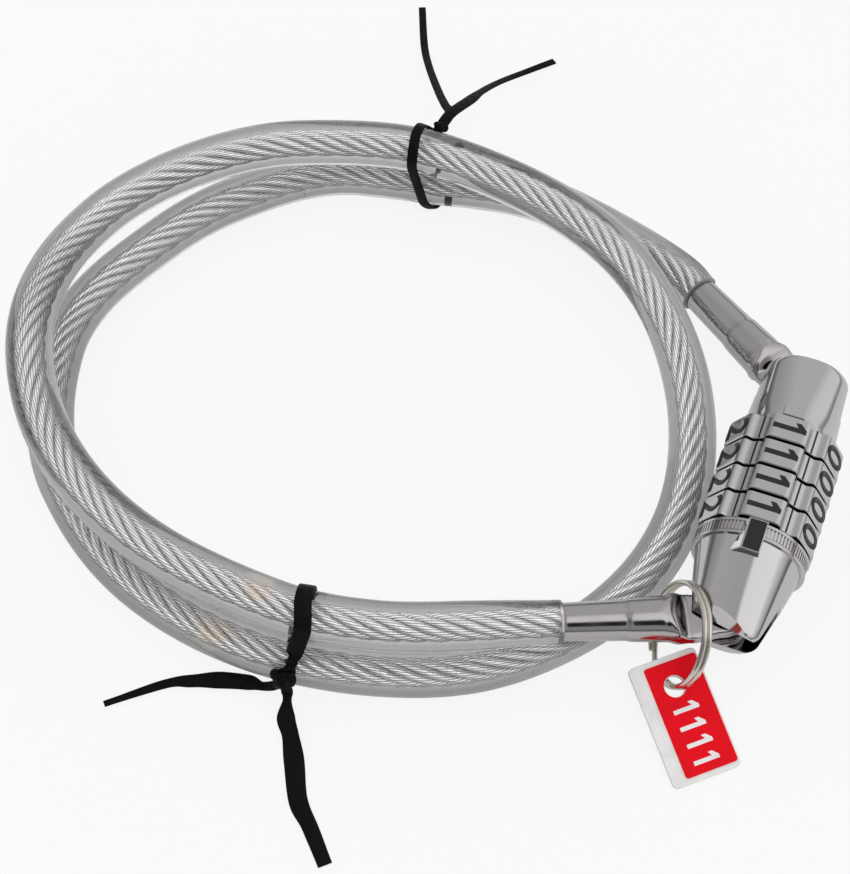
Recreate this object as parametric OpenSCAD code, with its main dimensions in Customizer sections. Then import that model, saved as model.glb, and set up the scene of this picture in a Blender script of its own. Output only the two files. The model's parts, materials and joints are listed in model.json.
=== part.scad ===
// Combination cable lock: a four-dial lock that closes a coiled, clear-jacketed wire rope.
// The lock's axis lies along +Y and the lock rests on one flat of each dial at z = 0.

/* [Dials] */
// Distance from the lock's axis to a digit flat
dial_flat = 11.8; // [10.5:0.1:14]
// Width of a digit flat
land_w = 8; // [6:0.1:9]
// Distance from the axis to the floor of a flute between two flats
flute_r = 10.9; // [10.5:0.1:11.5]
// Width of a flute's floor
flute_w = 2.4; // [1.5:0.1:3]
// Length that one dial takes up along the axis
dial_pitch = 6.4; // [5.4:0.1:8]
// Gap between neighbouring dials and caps
dial_gap = 0.3; // [0.3:0.05:0.5]
// Thickness of the gate wall inside a dial
gate_wall = 2.5; // [1.8:0.1:2.8]
// Radius of the space beside the gate wall
gate_r = 9.2; // [8.8:0.1:9.6]

/* [Core] */
// Radius of the sleeve that the dials turn on
sleeve_r = 7; // [6.5:0.1:7.4]
// Radius of the locking bolt
bolt_r = 4.2; // [3.6:0.1:4.6]
// Width of the bolt's teeth
tooth_w = 2.6; // [2:0.1:3]
// Running clearance between turning or sliding pieces, on the radius
running = 0.05; // [0.03:0.01:0.08]
// Clearance beside a tooth in its slot
slot_clear = 0.35; // [0.25:0.05:0.5]
// Depth of the sleeve's seat in the lower cap
sleeve_seat = 9; // [7:0.5:10]

/* [Caps] */
// Radius of the lower cap's rim
lower_rim_r = 11.7; // [11.4:0.1:13]
// Length of the lower cap's rim
lower_rim_len = 3.3; // [2:0.1:5]
// Length of the lower cap
lower_len = 21.6; // [21:0.1:26]
// Radius of the lower cap at its fork
lower_end_r = 7.4; // [7:0.1:9]
// Radius of the upper cap beside the dials
upper_rim_r = 9.9; // [9.6:0.1:11]
// Length of the upper cap
upper_len = 18; // [17.6:0.1:22]
// Radius of the upper cap at its fork
upper_end_r = 7.1; // [7:0.1:9]
// Height of a fork over both its cheeks
fork_h = 10.8; // [10:0.1:12]
// Height of a fork's slot
fork_slot = 4.4; // [3.8:0.1:5]
// Distance from a cap's end to its pivot pin
pin_inset = 5.5; // [5:0.1:6]
// Radius of a pivot pin
pin_r = 1.75; // [1.5:0.05:2]
// Distance from the lower pivot to the cut end of its fork's upper cheek
cheek_cut = 3.3; // [3:0.1:5]
// How far that cut is turned out of square
cheek_cut_turn = 19; // [0:1:20]

/* [Ferrules] */
// Thickness of a ferrule's tongue
tongue_t = 3; // [2.4:0.1:3.4]
// Radius of a tongue's eye
eye_r = 3.9; // [3.4:0.1:4]
// Distance from the pivot to the end of the tongue's root
barrel_start = 10.6; // [10.4:0.1:12]
// Radius of the shoulder
shoulder_r = 4.5; // [4:0.1:5]
// Distance from the pivot to the end of the shoulder
shoulder_end = 21.5; // [19:0.1:24]
// Radius of the crimped barrel
barrel_r = 3.8; // [3.4:0.1:4.2]
// Distance from the pivot to the barrel's open face
barrel_end = 34; // [34:0.1:34]
// Depth of the rope's socket in the barrel
socket_depth = 12; // [8:0.5:14]

/* [Cable] */
// Outer diameter of the clear jacket
jacket_d = 10; // [8:0.1:10]
// Diameter of the wire rope
rope_d = 4.2; // [3:0.1:5]
// Gap between the rope and the jacket's bore
rope_gap = 0.1; // [0.05:0.05:0.2]
// Mean radius of the coil
coil_r = 66; // [66:1:66]
// How far the coil is drawn out of round
coil_oval = 6.5; // [6.5:0.5:6.5]

/* [Ring and tag] */
// Mean radius of the split ring
ring_r = 10.3; // [9.8:0.1:10.6]
// Thickness of the ring's wire across its plane
ring_wire = 1.2; // [1:0.1:1.4]
// Height of the ring's two turns together
ring_stack = 2.2; // [1.8:0.1:2.4]
// Length of the tag
tag_l = 25; // [22:0.5:26]
// Width of the tag
tag_w = 14.4; // [13:0.1:16]
// Thickness of the tag
tag_t = 1.2; // [1:0.1:1.4]
// Radius of the tag's hole
tag_hole_r = 2.4; // [2:0.1:2.8]
// Distance from the tag's end to its hole
tag_hole_inset = 6.2; // [4:0.1:7]

/* [Ties] */
// Width of the front tie's ribbon
front_tie_w = 3; // [2:0.1:4]
// Width of the rear tie's ribbon
rear_tie_w = 1.6; // [1.2:0.1:2.4]
// Thickness of a tie's ribbon
tie_t = 0.9; // [0.6:0.1:1.2]

/* [Hidden] */
$fn = 64;
over = 0.5;
dials = 4;
digits = 6;
digit_step = 360 / digits;

// Places along the lock's axis
overall = lower_len + dials * dial_pitch + upper_len + dial_gap;
lower_end_y = -overall / 2;
stack_y = lower_end_y + lower_len + dial_gap / 2;
stack_end_y = stack_y + dials * dial_pitch;
upper_y = stack_end_y + dial_gap / 2;
upper_end_y = upper_y + upper_len;
pin_b_y = lower_end_y + pin_inset;
pin_a_y = upper_end_y - pin_inset;
axis_z = max(dial_flat, lower_rim_r);

// Core pieces
sleeve_bore = bolt_r + running;
sleeve_y = stack_y - dial_gap / 2 - sleeve_seat;
clip_t = 0.6;
clip_y = stack_end_y + 0.2;
clip_r = sleeve_r + 1.2;
clip_groove_r = sleeve_r - 0.8;
sleeve_end_y = clip_y + clip_t + 0.8;
slot_w = tooth_w + 2 * slot_clear;
slot_y = stack_y + dial_gap / 2;
tooth_top = gate_r - 0.5;
tooth_l = dial_pitch - dial_gap - gate_wall - 1;
fork_depth = pin_inset + eye_r + 0.3;
bolt_end_y = upper_end_y - fork_depth - 1;
bolt_pin_y = (sleeve_end_y + bolt_end_y) / 2;
bolt_pin_r = 1;
sleeve_pin_r = 1.2;
sleeve_pin_y = stack_y - sleeve_seat / 2 - 1;
cross_pin_grip = 2.5;
comb_t = 0.5;
comb_w = 3.6;
comb_floor = sleeve_r - 1.4;
finger_w = 1.6;
finger_short = 0.4;
finger_l = 1.6;
finger_tip = 0.7;
notch_r = finger_tip + 0.2;
index_w = 4.2;
index_l = 7.5;
index_rise = 0.9;
rim_step = 0.3;
blind_cheek = 1.4;

// Ferrules: each points from its pivot along a heading, and tilts up or down along its length
ferrule_a_heading = 145;
ferrule_a_tilt = -4;
ferrule_b_heading = 205;
ferrule_b_tilt = 6;

// Ring and tag
ring_at = [-8.2, pin_b_y - 6.65, axis_z - 1];
ring_heading = 26;
ring_lean = 24;
tag_at = ring_at + [2, -8.9, -4.8];
tag_heading = -48.6;
tag_tilt = 16;
label_t = 0.25;
label_edge = 0.4;
label_bare = 2.9;
label_ends = 1.15;
tag_side = 0.5;

// Coil: one turn and a half, clockwise seen from above, from the front tie to the rear tie
coil_at = [-88.8, 0];
oval_turn = 190;
coil_start = 81;
coil_end = 625;
coil_step = 10;
cable_sides = 10;
jacket_r = jacket_d / 2;
rope_r = rope_d / 2;
stack_rise = jacket_d + 0.5;
low_dip = 0.5;
// Each lane is [sweep angle of its middle, half its sweep, shift of the radius there]
lanes = [[85, 65, -3], [150, 45, -1], [190, 45, -0.1], [230, 45, -2], [234, 34, -2.4], [268, 45, -1.5],
         [390, 45, 0.5], [428, 45, 1], [468, 50, 3], [510, 40, -1], [540, 40, -6], [570, 40, -10.2],
         [604, 40, -4]];
gap_step = 3;

// Free ends, from the coil to the ferrule
end_a_route = [[-84, 60.5, 5.1], [-75, 61.8, 5.2], [-66, 61.8, 5.2], [-57, 60, 5.4], [-46.5, 56.5, 6.4]];
end_b_route = [[-68, -55.5, 15.5], [-56, -52, 15.5]];
end_straight = 7;

// Tie tails
front_root = [-79.3, -67.3, 5];
front_knot = [-78.5, -68.2, 3];
front_tail_1 = [[-84, -68.5, 1.4], [-93, -70, 1], [-101, -74.5, 0.8], [-111, -82.5, 0.6]];
front_tail_2 = [[-76.5, -73, 1.2], [-73, -78, 1], [-69, -87, 0.8], [-63, -93.5, 0.8], [-58.5, -98, 0.6]];
rear_root = [-98, 64, 12];
rear_knot = [-94, 67, 12.5];
rear_tail_1 = [[-98.5, 78, 9], [-105, 90, 5], [-110.5, 101, 2], [-114, 109.5, 1]];
rear_tail_2 = [[-91.5, 81.5, 8], [-88.5, 91, 4], [-84, 99, 1.5], [-80, 104.5, 1]];

function unit(v) = v / norm(v);
function bump(s, middle, half) = abs(s - middle) >= half ? 0 : 0.5 + 0.5 * cos(180 * (s - middle) / half);
function ramp(s, a, b) = let (t = min(1, max(0, (s - a) / (b - a)))) t * t * (3 - 2 * t);
function total(list, i = 0) = i < len(list) ? list[i] + total(list, i + 1) : 0;

function lane_shift(s) = total([for (lane = lanes) lane[2] * bump(s, lane[0], lane[1])]);
function turn_r(s) = coil_r + coil_oval * cos(2 * (s - oval_turn)) + lane_shift(s);
function turn_z(s) = jacket_r
    + stack_rise * (1 - low_dip * ramp(s, 163, 196) + low_dip * ramp(s, 202, 237) - ramp(s, 310, 364));
function coil_point(s) = [coil_at[0] + turn_r(s) * cos(-s), coil_at[1] + turn_r(s) * sin(-s), turn_z(s)];

function pin_point(y) = [0, y, axis_z];
function heading(a, tilt) = [cos(a) * cos(tilt), sin(a) * cos(tilt), sin(tilt)];
function along(y, a, tilt, u) = pin_point(y) + u * heading(a, tilt);
function ferrule_a_point(u) = along(pin_a_y, ferrule_a_heading, ferrule_a_tilt, u);
function ferrule_b_point(u) = along(pin_b_y, ferrule_b_heading, ferrule_b_tilt, u);

coil_path = [
    for (s = [coil_start : coil_step : coil_end - coil_step / 2]) coil_point(s),
    coil_point(coil_end)];
face_gap = 0.05;
end_a_path = concat([coil_point(coil_end)], end_a_route,
                    [ferrule_a_point(barrel_end + end_straight), ferrule_a_point(barrel_end + face_gap)]);
end_b_path = concat([coil_point(coil_start)], end_b_route,
                    [ferrule_b_point(barrel_end + end_straight), ferrule_b_point(barrel_end + face_gap)]);

// Least gap between the coil's two turns, measured on points of its middle line
turn_gap = min([for (a = [coil_start : gap_step : coil_end - 180])
                for (b = [a + 180 : gap_step : coil_end])
                norm(coil_point(a) - coil_point(b))]) - jacket_d;
echo(least_gap_between_turns = turn_gap);

// Points of a smooth curve through a route's own points
function curve_point(p0, p1, p2, p3, t) =
    0.5 * (2 * p1 + (p2 - p0) * t + (2 * p0 - 5 * p1 + 4 * p2 - p3) * t * t
           + (3 * p1 - p0 - 3 * p2 + p3) * t * t * t);
function smooth(p, first, last, steps) =
    let (q = concat([first], p, [last]))
    [for (i = [1 : len(p) - 1])
        for (k = [0 : steps - 1])
            curve_point(q[i - 1], q[i], q[i + 1], q[i + 2], k / steps),
     p[len(p) - 1]];

function round_section(r, sides) = [
    for (i = [0 : sides - 1])
        let (a = 360 * i / sides - 90)
        r * [cos(a), sin(a)]];
function flat_section(w, t) = [[-w / 2, -t / 2], [w / 2, -t / 2], [w / 2, t / 2], [-w / 2, t / 2]];
// Direction of a path at one of its points; its first and last directions are given
function path_way(p, i, ways) =
    unit(i == 0 ? ways[0] : i == len(p) - 1 ? ways[1] : p[i + 1] - p[i - 1]);
function ring_points(p, i, ways, section) =
    let (way = path_way(p, i, ways), side = unit(cross(way, [0, 0, 1])), up = cross(side, way))
    [for (q = section) p[i] + q[0] * side + q[1] * up];
function all_rings(p, ways, section) = [for (i = [0 : len(p) - 1]) each ring_points(p, i, ways, section)];
function wall_faces(rings, n, base, out) = [
    for (i = [0 : rings - 2])
        for (k = [0 : n - 1])
            let (a = base + i * n + k, b = base + i * n + (k + 1) % n)
            each out ? [[a, b, b + n], [a, b + n, a + n]] : [[b, a, b + n], [b + n, a, a + n]]];

// A solid swept along a path
module swept(path, ways, section) {
    n = len(section);
    last = (len(path) - 1) * n;
    caps = [for (k = [1 : n - 2]) each [[0, k + 1, k], [last, last + k, last + k + 1]]];
    walls = wall_faces(len(path), n, 0, true);
    polyhedron(all_rings(path, ways, section), concat(walls, caps), convexity = 6);
}

// A tube swept along a path, open at both ends
module swept_tube(path, ways, outer, inner) {
    n = len(outer);
    count = len(path) * n;
    last = count - n;
    ends = [for (k = [0 : n - 1])
        let (m = (k + 1) % n)
        each [[k, count + k, m], [m, count + k, count + m],
              [last + m, last + count + k, last + k], [last + m, last + count + m, last + count + k]]];
    polyhedron(concat(all_rings(path, ways, outer), all_rings(path, ways, inner)),
               concat(wall_faces(len(path), n, 0, true), wall_faces(len(path), n, count, false), ends),
               convexity = 8);
}

jacket_section = round_section(jacket_r, cable_sides);
bore_section = round_section(rope_r + rope_gap, cable_sides);
rope_section = round_section(rope_r, cable_sides);
end_steps = 3;
coil_first_way = coil_point(coil_start + 1) - coil_point(coil_start);
coil_last_way = coil_point(coil_end) - coil_point(coil_end - 1);
coil_ways = [coil_first_way, coil_last_way];
end_a_ways = [coil_last_way, -heading(ferrule_a_heading, ferrule_a_tilt)];
end_b_ways = [-coil_first_way, -heading(ferrule_b_heading, ferrule_b_tilt)];
end_a_curve = smooth(end_a_path, coil_point(coil_end - coil_step),
                     ferrule_a_point(barrel_end - end_straight), end_steps);
end_b_curve = smooth(end_b_path, coil_point(coil_start + coil_step),
                     ferrule_b_point(barrel_end - end_straight), end_steps);

// Puts a piece on the lock's axis: its own z runs along +Y, and its own -y points up
module on_axis(y) {
    translate([0, y, axis_z]) rotate([-90, 0, 0]) children();
}

module axis_rod(y0, y1, r) {
    on_axis(y0) cylinder(r = r, h = y1 - y0);
}

module upright_rod(y, z0, z1, r) {
    translate([0, y, axis_z + z0]) cylinder(r = r, h = z1 - z0);
}

// Cuts a turned cap down to the height of its fork; y0 is the full end, y1 the fork's end
module cap_side(y0, y1, r0) {
    way = sign(y1 - y0);
    high = r0 + over;
    start = y0 + way * lower_rim_len;
    fork = y1 - way * fork_depth * 0.5;
    translate([-2 * r0, 0, axis_z]) rotate([90, 0, 90])
        linear_extrude(4 * r0)
            polygon([[y0, -high], [start, -high], [fork, -fork_h / 2], [y1, -fork_h / 2],
                     [y1, fork_h / 2], [fork, fork_h / 2], [start, high], [y0, high]]);
}

module fork_slot_cut(y1, way) {
    translate([-2 * lower_rim_r, way > 0 ? y1 - fork_depth : y1 - over, axis_z - fork_slot / 2])
        cube([4 * lower_rim_r, fork_depth + over, fork_slot]);
}

module lower_cap() {
    top_y = stack_y - dial_gap / 2;
    rim_y = lower_len - lower_rim_len;
    color("lightslategray") difference() {
        union() {
            intersection() {
                on_axis(lower_end_y)
                    rotate_extrude()
                        polygon([[0, 0], [lower_end_r, 0], [lower_rim_r - rim_step, rim_y], [lower_rim_r, rim_y],
                                 [lower_rim_r, lower_len], [0, lower_len]]);
                cap_side(top_y, lower_end_y, lower_rim_r);
            }
            translate([-index_w / 2, top_y - index_l, axis_z + sleeve_r + 1])
                cube([index_w, index_l, lower_rim_r + index_rise - sleeve_r - 1]);
        }
        axis_rod(sleeve_y, top_y + over, sleeve_r + running);
        fork_slot_cut(lower_end_y, -1);
        upright_rod(pin_b_y, -fork_h, fork_h / 2 - blind_cheek, pin_r);
        upright_rod(sleeve_pin_y, -lower_rim_r - over, 0, sleeve_pin_r);
        translate([0, pin_b_y - cheek_cut, axis_z]) rotate([0, 0, -cheek_cut_turn])
            translate([-2 * lower_rim_r, -lower_len, 0]) cube([4 * lower_rim_r, lower_len, lower_rim_r]);
    }
}

module core_sleeve() {
    color("silver") difference() {
        axis_rod(sleeve_y, sleeve_end_y, sleeve_r);
        axis_rod(sleeve_y - over, sleeve_end_y + over, sleeve_bore);
        translate([-slot_w / 2, slot_y, axis_z]) cube([slot_w, sleeve_end_y - slot_y + over, 2 * sleeve_r]);
        translate([-comb_w / 2 - 0.1, stack_y, axis_z - sleeve_r - over])
            cube([comb_w + 0.2, stack_end_y - stack_y, sleeve_r + over - comb_floor]);
        difference() {
            axis_rod(clip_y - 0.05, clip_y + clip_t + 0.05, sleeve_r + over);
            axis_rod(clip_y - over, clip_y + clip_t + over, clip_groove_r);
        }
        upright_rod(sleeve_pin_y, -2 * sleeve_r, -sleeve_r + cross_pin_grip + 0.05, sleeve_pin_r);
    }
}

module sleeve_pin() {
    color("gray")
        upright_rod(sleeve_pin_y, -lower_rim_r + 1.2, -sleeve_r + cross_pin_grip, sleeve_pin_r - running);
}

module retaining_ring() {
    color("dimgray") difference() {
        axis_rod(clip_y, clip_y + clip_t, clip_r);
        axis_rod(clip_y - over, clip_y + clip_t + over, clip_groove_r + running);
        translate([-slot_w / 2 - 0.6, clip_y - over, axis_z]) cube([slot_w + 1.2, 2, 2 * clip_r]);
    }
}

function dial_y(k) = stack_y + (dials - k) * dial_pitch + dial_gap / 2;
dial_l = dial_pitch - dial_gap;
room_l = dial_l - gate_wall;

// One leaf with a finger for each dial, in the sleeve's lower groove
module detent_spring() {
    color("gray") union() {
        translate([-comb_w / 2, stack_y + 0.2, axis_z - comb_floor - comb_t - 0.1])
            cube([comb_w, stack_end_y - stack_y - 0.4, comb_t]);
        for (k = [1 : dials]) {
            y = dial_y(k) + room_l / 2;
            translate([-finger_w / 2, y - finger_l / 2, axis_z - gate_r + finger_short])
                cube([finger_w, finger_l, gate_r - finger_short - comb_floor - comb_t]);
            on_axis(y - finger_l / 2) translate([0, gate_r, 0]) cylinder(r = finger_tip, h = finger_l);
        }
    }
}

// Outline of a dial: flats for the digits, with a flute between each two
module dial_outline() {
    polygon([for (i = [0 : digits - 1])
        let (a = 90 + i * digit_step, b = a + digit_step / 2)
        each [for (q = [[a, dial_flat, -land_w / 2], [a, dial_flat, land_w / 2],
                        [b, flute_r, -flute_w / 2], [b, flute_r, flute_w / 2]])
            [q[1] * cos(q[0]) - q[2] * sin(q[0]), q[1] * sin(q[0]) + q[2] * cos(q[0])]]]);
}

module dial(k) {
    color("silver") difference() {
        on_axis(dial_y(k)) linear_extrude(dial_l) dial_outline();
        axis_rod(dial_y(k) - over, dial_y(k) + dial_l + over, sleeve_r + running);
        axis_rod(dial_y(k) - over, dial_y(k) + room_l, gate_r);
        translate([-slot_w / 2, dial_y(k) + room_l / 2, axis_z]) cube([slot_w, dial_l, gate_r]);
        on_axis(dial_y(k) - over)
            for (i = [0 : digits - 1])
                rotate(i * digit_step) translate([0, gate_r, 0])
                    cylinder(r = notch_r, h = room_l + over, $fn = 24);
    }
}

module upper_cap() {
    recess_l = sleeve_end_y + 0.4 - upper_y;
    color("lightslategray") difference() {
        intersection() {
            on_axis(upper_y)
                rotate_extrude()
                    polygon([[0, 0], [upper_rim_r, 0], [upper_rim_r, 1.2],
                             [upper_end_r, upper_len], [0, upper_len]]);
            cap_side(upper_y, upper_end_y, upper_rim_r);
        }
        axis_rod(upper_y - over, upper_y + recess_l, clip_r + 0.4);
        axis_rod(upper_y, bolt_end_y, bolt_r + running);
        fork_slot_cut(upper_end_y, 1);
        upright_rod(pin_a_y, -fork_h, fork_h / 2 - blind_cheek, pin_r);
        upright_rod(bolt_pin_y, -upper_rim_r - over, 0, bolt_pin_r);
    }
}

module locking_bolt() {
    tip_y = dial_y(dials) + 0.5;
    color("silver") difference() {
        union() {
            axis_rod(tip_y, bolt_end_y - 0.1, bolt_r);
            for (k = [1 : dials])
                translate([-tooth_w / 2, dial_y(k) + 0.5, axis_z]) cube([tooth_w, tooth_l, tooth_top]);
        }
        upright_rod(bolt_pin_y, -2 * bolt_r, -bolt_r + cross_pin_grip + 0.05, bolt_pin_r);
    }
}

module bolt_pin() {
    color("gray") upright_rod(bolt_pin_y, -upper_rim_r + 3.2, -bolt_r + cross_pin_grip, bolt_pin_r - running);
}

module pivot_pin(y) {
    color("gray") upright_rod(y, -fork_h / 2 + 0.2, fork_h / 2 - blind_cheek - 0.1, pin_r - running);
}

// A crimped end: a flat tongue with an eye, then a round barrel with a socket for the rope
module ferrule(y, a, tilt) {
    color("slategray") translate(pin_point(y)) rotate(a) difference() {
        union() {
            translate([0, 0, -tongue_t / 2]) cylinder(r = eye_r, h = tongue_t);
            translate([0, -eye_r, -tongue_t / 2]) cube([barrel_start + 2, 2 * eye_r, tongue_t]);
            rotate([0, 90 - tilt, 0])
                rotate_extrude()
                    polygon([[0, barrel_start], [shoulder_r - 1.6, barrel_start],
                             [shoulder_r, barrel_start + 2], [shoulder_r, shoulder_end - 1],
                             [barrel_r, shoulder_end], [barrel_r, barrel_end], [0, barrel_end]]);
        }
        translate([0, 0, -tongue_t]) cylinder(r = pin_r, h = 2 * tongue_t);
        rotate([0, 90 - tilt, 0])
            translate([0, 0, barrel_end - socket_depth])
                cylinder(r = rope_r + running, h = socket_depth + over);
    }
}

module split_ring() {
    color("tan") translate(ring_at) rotate([0, 90 + ring_lean, ring_heading])
        difference() {
            cylinder(r = ring_r + ring_wire / 2, h = ring_stack, center = true);
            cylinder(r = ring_r - ring_wire / 2, h = 2 * ring_stack, center = true);
        }
}

module tag_place() {
    translate(tag_at) rotate([0, tag_tilt, tag_heading]) children();
}

// A flat plate with its corners cut
module tag_sheet(x0, x1, y0, y1, t, cut) {
    linear_extrude(t)
        polygon([[x0 + cut, y0], [x1 - cut, y0], [x1, y0 + cut], [x1, y1 - cut],
                 [x1 - cut, y1], [x0 + cut, y1], [x0, y1 - cut], [x0, y0 + cut]]);
}

module tag_plate() {
    color("white") tag_place() difference() {
        translate([0, 0, -tag_t / 2])
            tag_sheet(-tag_hole_inset, tag_l - tag_hole_inset, -tag_w / 2 - tag_side, tag_w / 2 - tag_side, tag_t, 0.8);
        translate([0, 0, -tag_t]) cylinder(r = tag_hole_r, h = 2 * tag_t);
    }
}

module tag_label() {
    color("red") tag_place() difference() {
        translate([0, 0, tag_t / 2])
            tag_sheet(-tag_hole_inset + label_ends, tag_l - tag_hole_inset - label_ends,
                      -tag_w / 2 - tag_side + label_bare, tag_w / 2 - tag_side - label_edge, label_t, 0.3);
        cylinder(r = tag_hole_r + 0.2, h = 2 * tag_t);
    }
}

module jacket(path, ways) {
    color("gainsboro", 0.5) swept_tube(path, ways, jacket_section, bore_section);
}

module rope(path, ways) {
    color("darkgray") swept(path, ways, rope_section);
}

// The rope runs on past the jacket into the ferrule's socket
end_a_rope_curve = concat(end_a_curve, [ferrule_a_point(barrel_end - socket_depth + 1)]);
end_b_rope_curve = concat(end_b_curve, [ferrule_b_point(barrel_end - socket_depth + 1)]);

tie_slack = 0.45;

// The band's outline round both turns of the coil at one sweep angle, pushed out to a length
module tie_band(s, r, l) {
    translate([coil_at[0], coil_at[1], 0]) rotate([90, 0, -s]) translate([0, 0, -l / 2])
        linear_extrude(l) hull() {
            translate([turn_r(s), turn_z(s)]) circle(r, $fn = 32);
            translate([turn_r(s + 360), turn_z(s + 360)]) circle(r, $fn = 32);
        }
}

// A loose end of a ribbon
module tie_tail(points, w) {
    n = len(points) - 1;
    first_way = points[1] - points[0];
    last_way = points[n] - points[n - 1];
    swept(smooth(points, points[0] - first_way, points[n] + last_way, 2), [first_way, last_way],
          flat_section(w, tie_t));
}

// A ribbon round both turns of the coil at one place, with a knot and two tails
module tie(s, w, root, knot, knot_r, tail_1, tail_2) {
    inner = jacket_r + tie_slack;
    color("black") difference() {
        union() {
            tie_band(s, inner + tie_t, w);
            translate(knot) sphere(knot_r, $fn = 24);
            tie_tail(concat([root, knot], tail_1), w);
            tie_tail(concat([knot], tail_2), w);
        }
        tie_band(s, inner, 8 * w);
        translate([coil_at[0], coil_at[1], -5]) cube([400, 400, 10], center = true);
    }
}

module tie_front() {
    tie(coil_start + 1, front_tie_w, front_root, front_knot, 2.2, front_tail_1, front_tail_2);
}

module tie_rear() {
    tie(coil_end - 363, rear_tie_w, rear_root, rear_knot, 1.5, rear_tail_1, rear_tail_2);
}

lower_cap();
core_sleeve();
sleeve_pin();
retaining_ring();
detent_spring();
pivot_pin(pin_b_y);  // pivot_pin_b
dial(1);  // dial_1
dial(2);  // dial_2
dial(3);  // dial_3
dial(4);  // dial_4
upper_cap();
locking_bolt();
bolt_pin();
pivot_pin(pin_a_y);  // pivot_pin_a
ferrule(pin_a_y, ferrule_a_heading, ferrule_a_tilt);  // ferrule_a
ferrule(pin_b_y, ferrule_b_heading, ferrule_b_tilt);  // ferrule_b
split_ring();
tag_plate();
tag_label();
jacket(coil_path, coil_ways);  // cable_coil_jacket
rope(coil_path, coil_ways);  // cable_coil_rope
jacket(end_a_curve, end_a_ways);  // cable_end_a_jacket
rope(end_a_rope_curve, end_a_ways);  // cable_end_a_rope
jacket(end_b_curve, end_b_ways);  // cable_end_b_jacket
rope(end_b_rope_curve, end_b_ways);  // cable_end_b_rope
tie_front();
tie_rear();
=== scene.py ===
import json
import math

import bmesh
import bpy
from mathutils import Matrix, Vector


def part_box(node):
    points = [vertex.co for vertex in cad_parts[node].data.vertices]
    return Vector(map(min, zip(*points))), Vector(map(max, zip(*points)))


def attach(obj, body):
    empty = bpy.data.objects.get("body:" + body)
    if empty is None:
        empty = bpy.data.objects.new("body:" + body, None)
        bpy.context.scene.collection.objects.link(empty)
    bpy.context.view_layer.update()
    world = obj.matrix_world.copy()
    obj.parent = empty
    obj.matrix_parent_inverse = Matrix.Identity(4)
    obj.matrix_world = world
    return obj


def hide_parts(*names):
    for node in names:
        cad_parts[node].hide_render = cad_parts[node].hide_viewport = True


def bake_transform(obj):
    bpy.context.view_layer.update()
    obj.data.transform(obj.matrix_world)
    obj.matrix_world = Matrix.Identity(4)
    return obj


# Looks of a four-dial combination cable lock. Sizes are in millimetres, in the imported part's own frame.
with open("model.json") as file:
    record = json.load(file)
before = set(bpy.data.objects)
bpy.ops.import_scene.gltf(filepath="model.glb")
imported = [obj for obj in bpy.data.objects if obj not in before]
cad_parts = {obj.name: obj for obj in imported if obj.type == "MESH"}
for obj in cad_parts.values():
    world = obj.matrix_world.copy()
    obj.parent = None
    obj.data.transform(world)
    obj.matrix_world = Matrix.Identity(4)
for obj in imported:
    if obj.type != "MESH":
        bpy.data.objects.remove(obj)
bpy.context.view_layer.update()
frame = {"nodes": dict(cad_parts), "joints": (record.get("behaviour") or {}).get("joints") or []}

MM = 0.001
UP = Vector((0, 0, 1))
EASE_TRIES = 4
JOINTS = {joint["name"]: joint for joint in frame["joints"]}


def box_mm(node):
    low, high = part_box(node)
    return low / MM, high / MM


def unit_way(turn, rise):
    """The direction at a compass turn and a rise above the floor, in degrees."""
    a, e = math.radians(turn), math.radians(rise)
    return Vector((math.cos(a) * math.cos(e), math.sin(a) * math.cos(e), math.sin(e)))


def bump(s, middle, half):
    if abs(s - middle) >= half:
        return 0.0
    return 0.5 + 0.5 * math.cos(math.pi * (s - middle) / half)


def ramp(s, a, b):
    t = min(1.0, max(0.0, (s - a) / (b - a)))
    return t * t * (3 - 2 * t)


def mix(a, b, t):
    return a + (b - a) * t


def along(pairs, d, ease):
    """The value at d on straight lines through (place, value) pairs, with eased corners."""
    def straight(at):
        for (a, u), (b, v) in zip(pairs, pairs[1:]):
            if at <= b:
                return mix(u, v, min(1.0, max(0.0, (at - a) / (b - a))))
        return pairs[-1][1]

    tries = [straight(d + ease * k / EASE_TRIES) for k in range(-EASE_TRIES, EASE_TRIES + 1)]
    return sum(tries) / len(tries)


def turns(count):
    """Angles at even steps once round."""
    return [2 * math.pi * i / count for i in range(count)]


# Camera, at the photograph's viewing angle
VIEW_TURN = 20
VIEW_RISE = 59
VIEW_FAR = 480
VIEW_AT = Vector((-73.1, -2.3, 0))
LENS = 92.9

camera = bpy.data.objects.new("camera", bpy.data.cameras.new("camera"))
view_back = unit_way(VIEW_TURN - 90, VIEW_RISE)
camera.data.lens = LENS
camera.location = (VIEW_AT + VIEW_FAR * view_back) * MM
camera.rotation_mode = "QUATERNION"
camera.rotation_quaternion = (-view_back).to_track_quat("-Z", "Y")
bpy.context.scene.collection.objects.link(camera)
bpy.context.scene.camera = camera
bpy.context.scene.view_settings.view_transform = "Standard"


# Node trees, for finishes and for shapes


class Term:
    """One value in a node tree. Python sums on it add Math nodes."""

    def __init__(self, tree, socket):
        self.tree = tree
        self.socket = socket

    def math(self, operation, first, second=0.0):
        return self.tree.node("ShaderNodeMath", {0: first, 1: second}, operation=operation)

    def __add__(self, other):
        return self.math("ADD", self, other)

    def __radd__(self, other):
        return self.math("ADD", other, self)

    def __sub__(self, other):
        return self.math("SUBTRACT", self, other)

    def __rsub__(self, other):
        return self.math("SUBTRACT", other, self)

    def __mul__(self, other):
        return self.math("MULTIPLY", self, other)

    def __rmul__(self, other):
        return self.math("MULTIPLY", other, self)

    def __truediv__(self, other):
        return self.math("DIVIDE", self, other)

    def __mod__(self, other):
        return self.math("MODULO", self, other)


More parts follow.
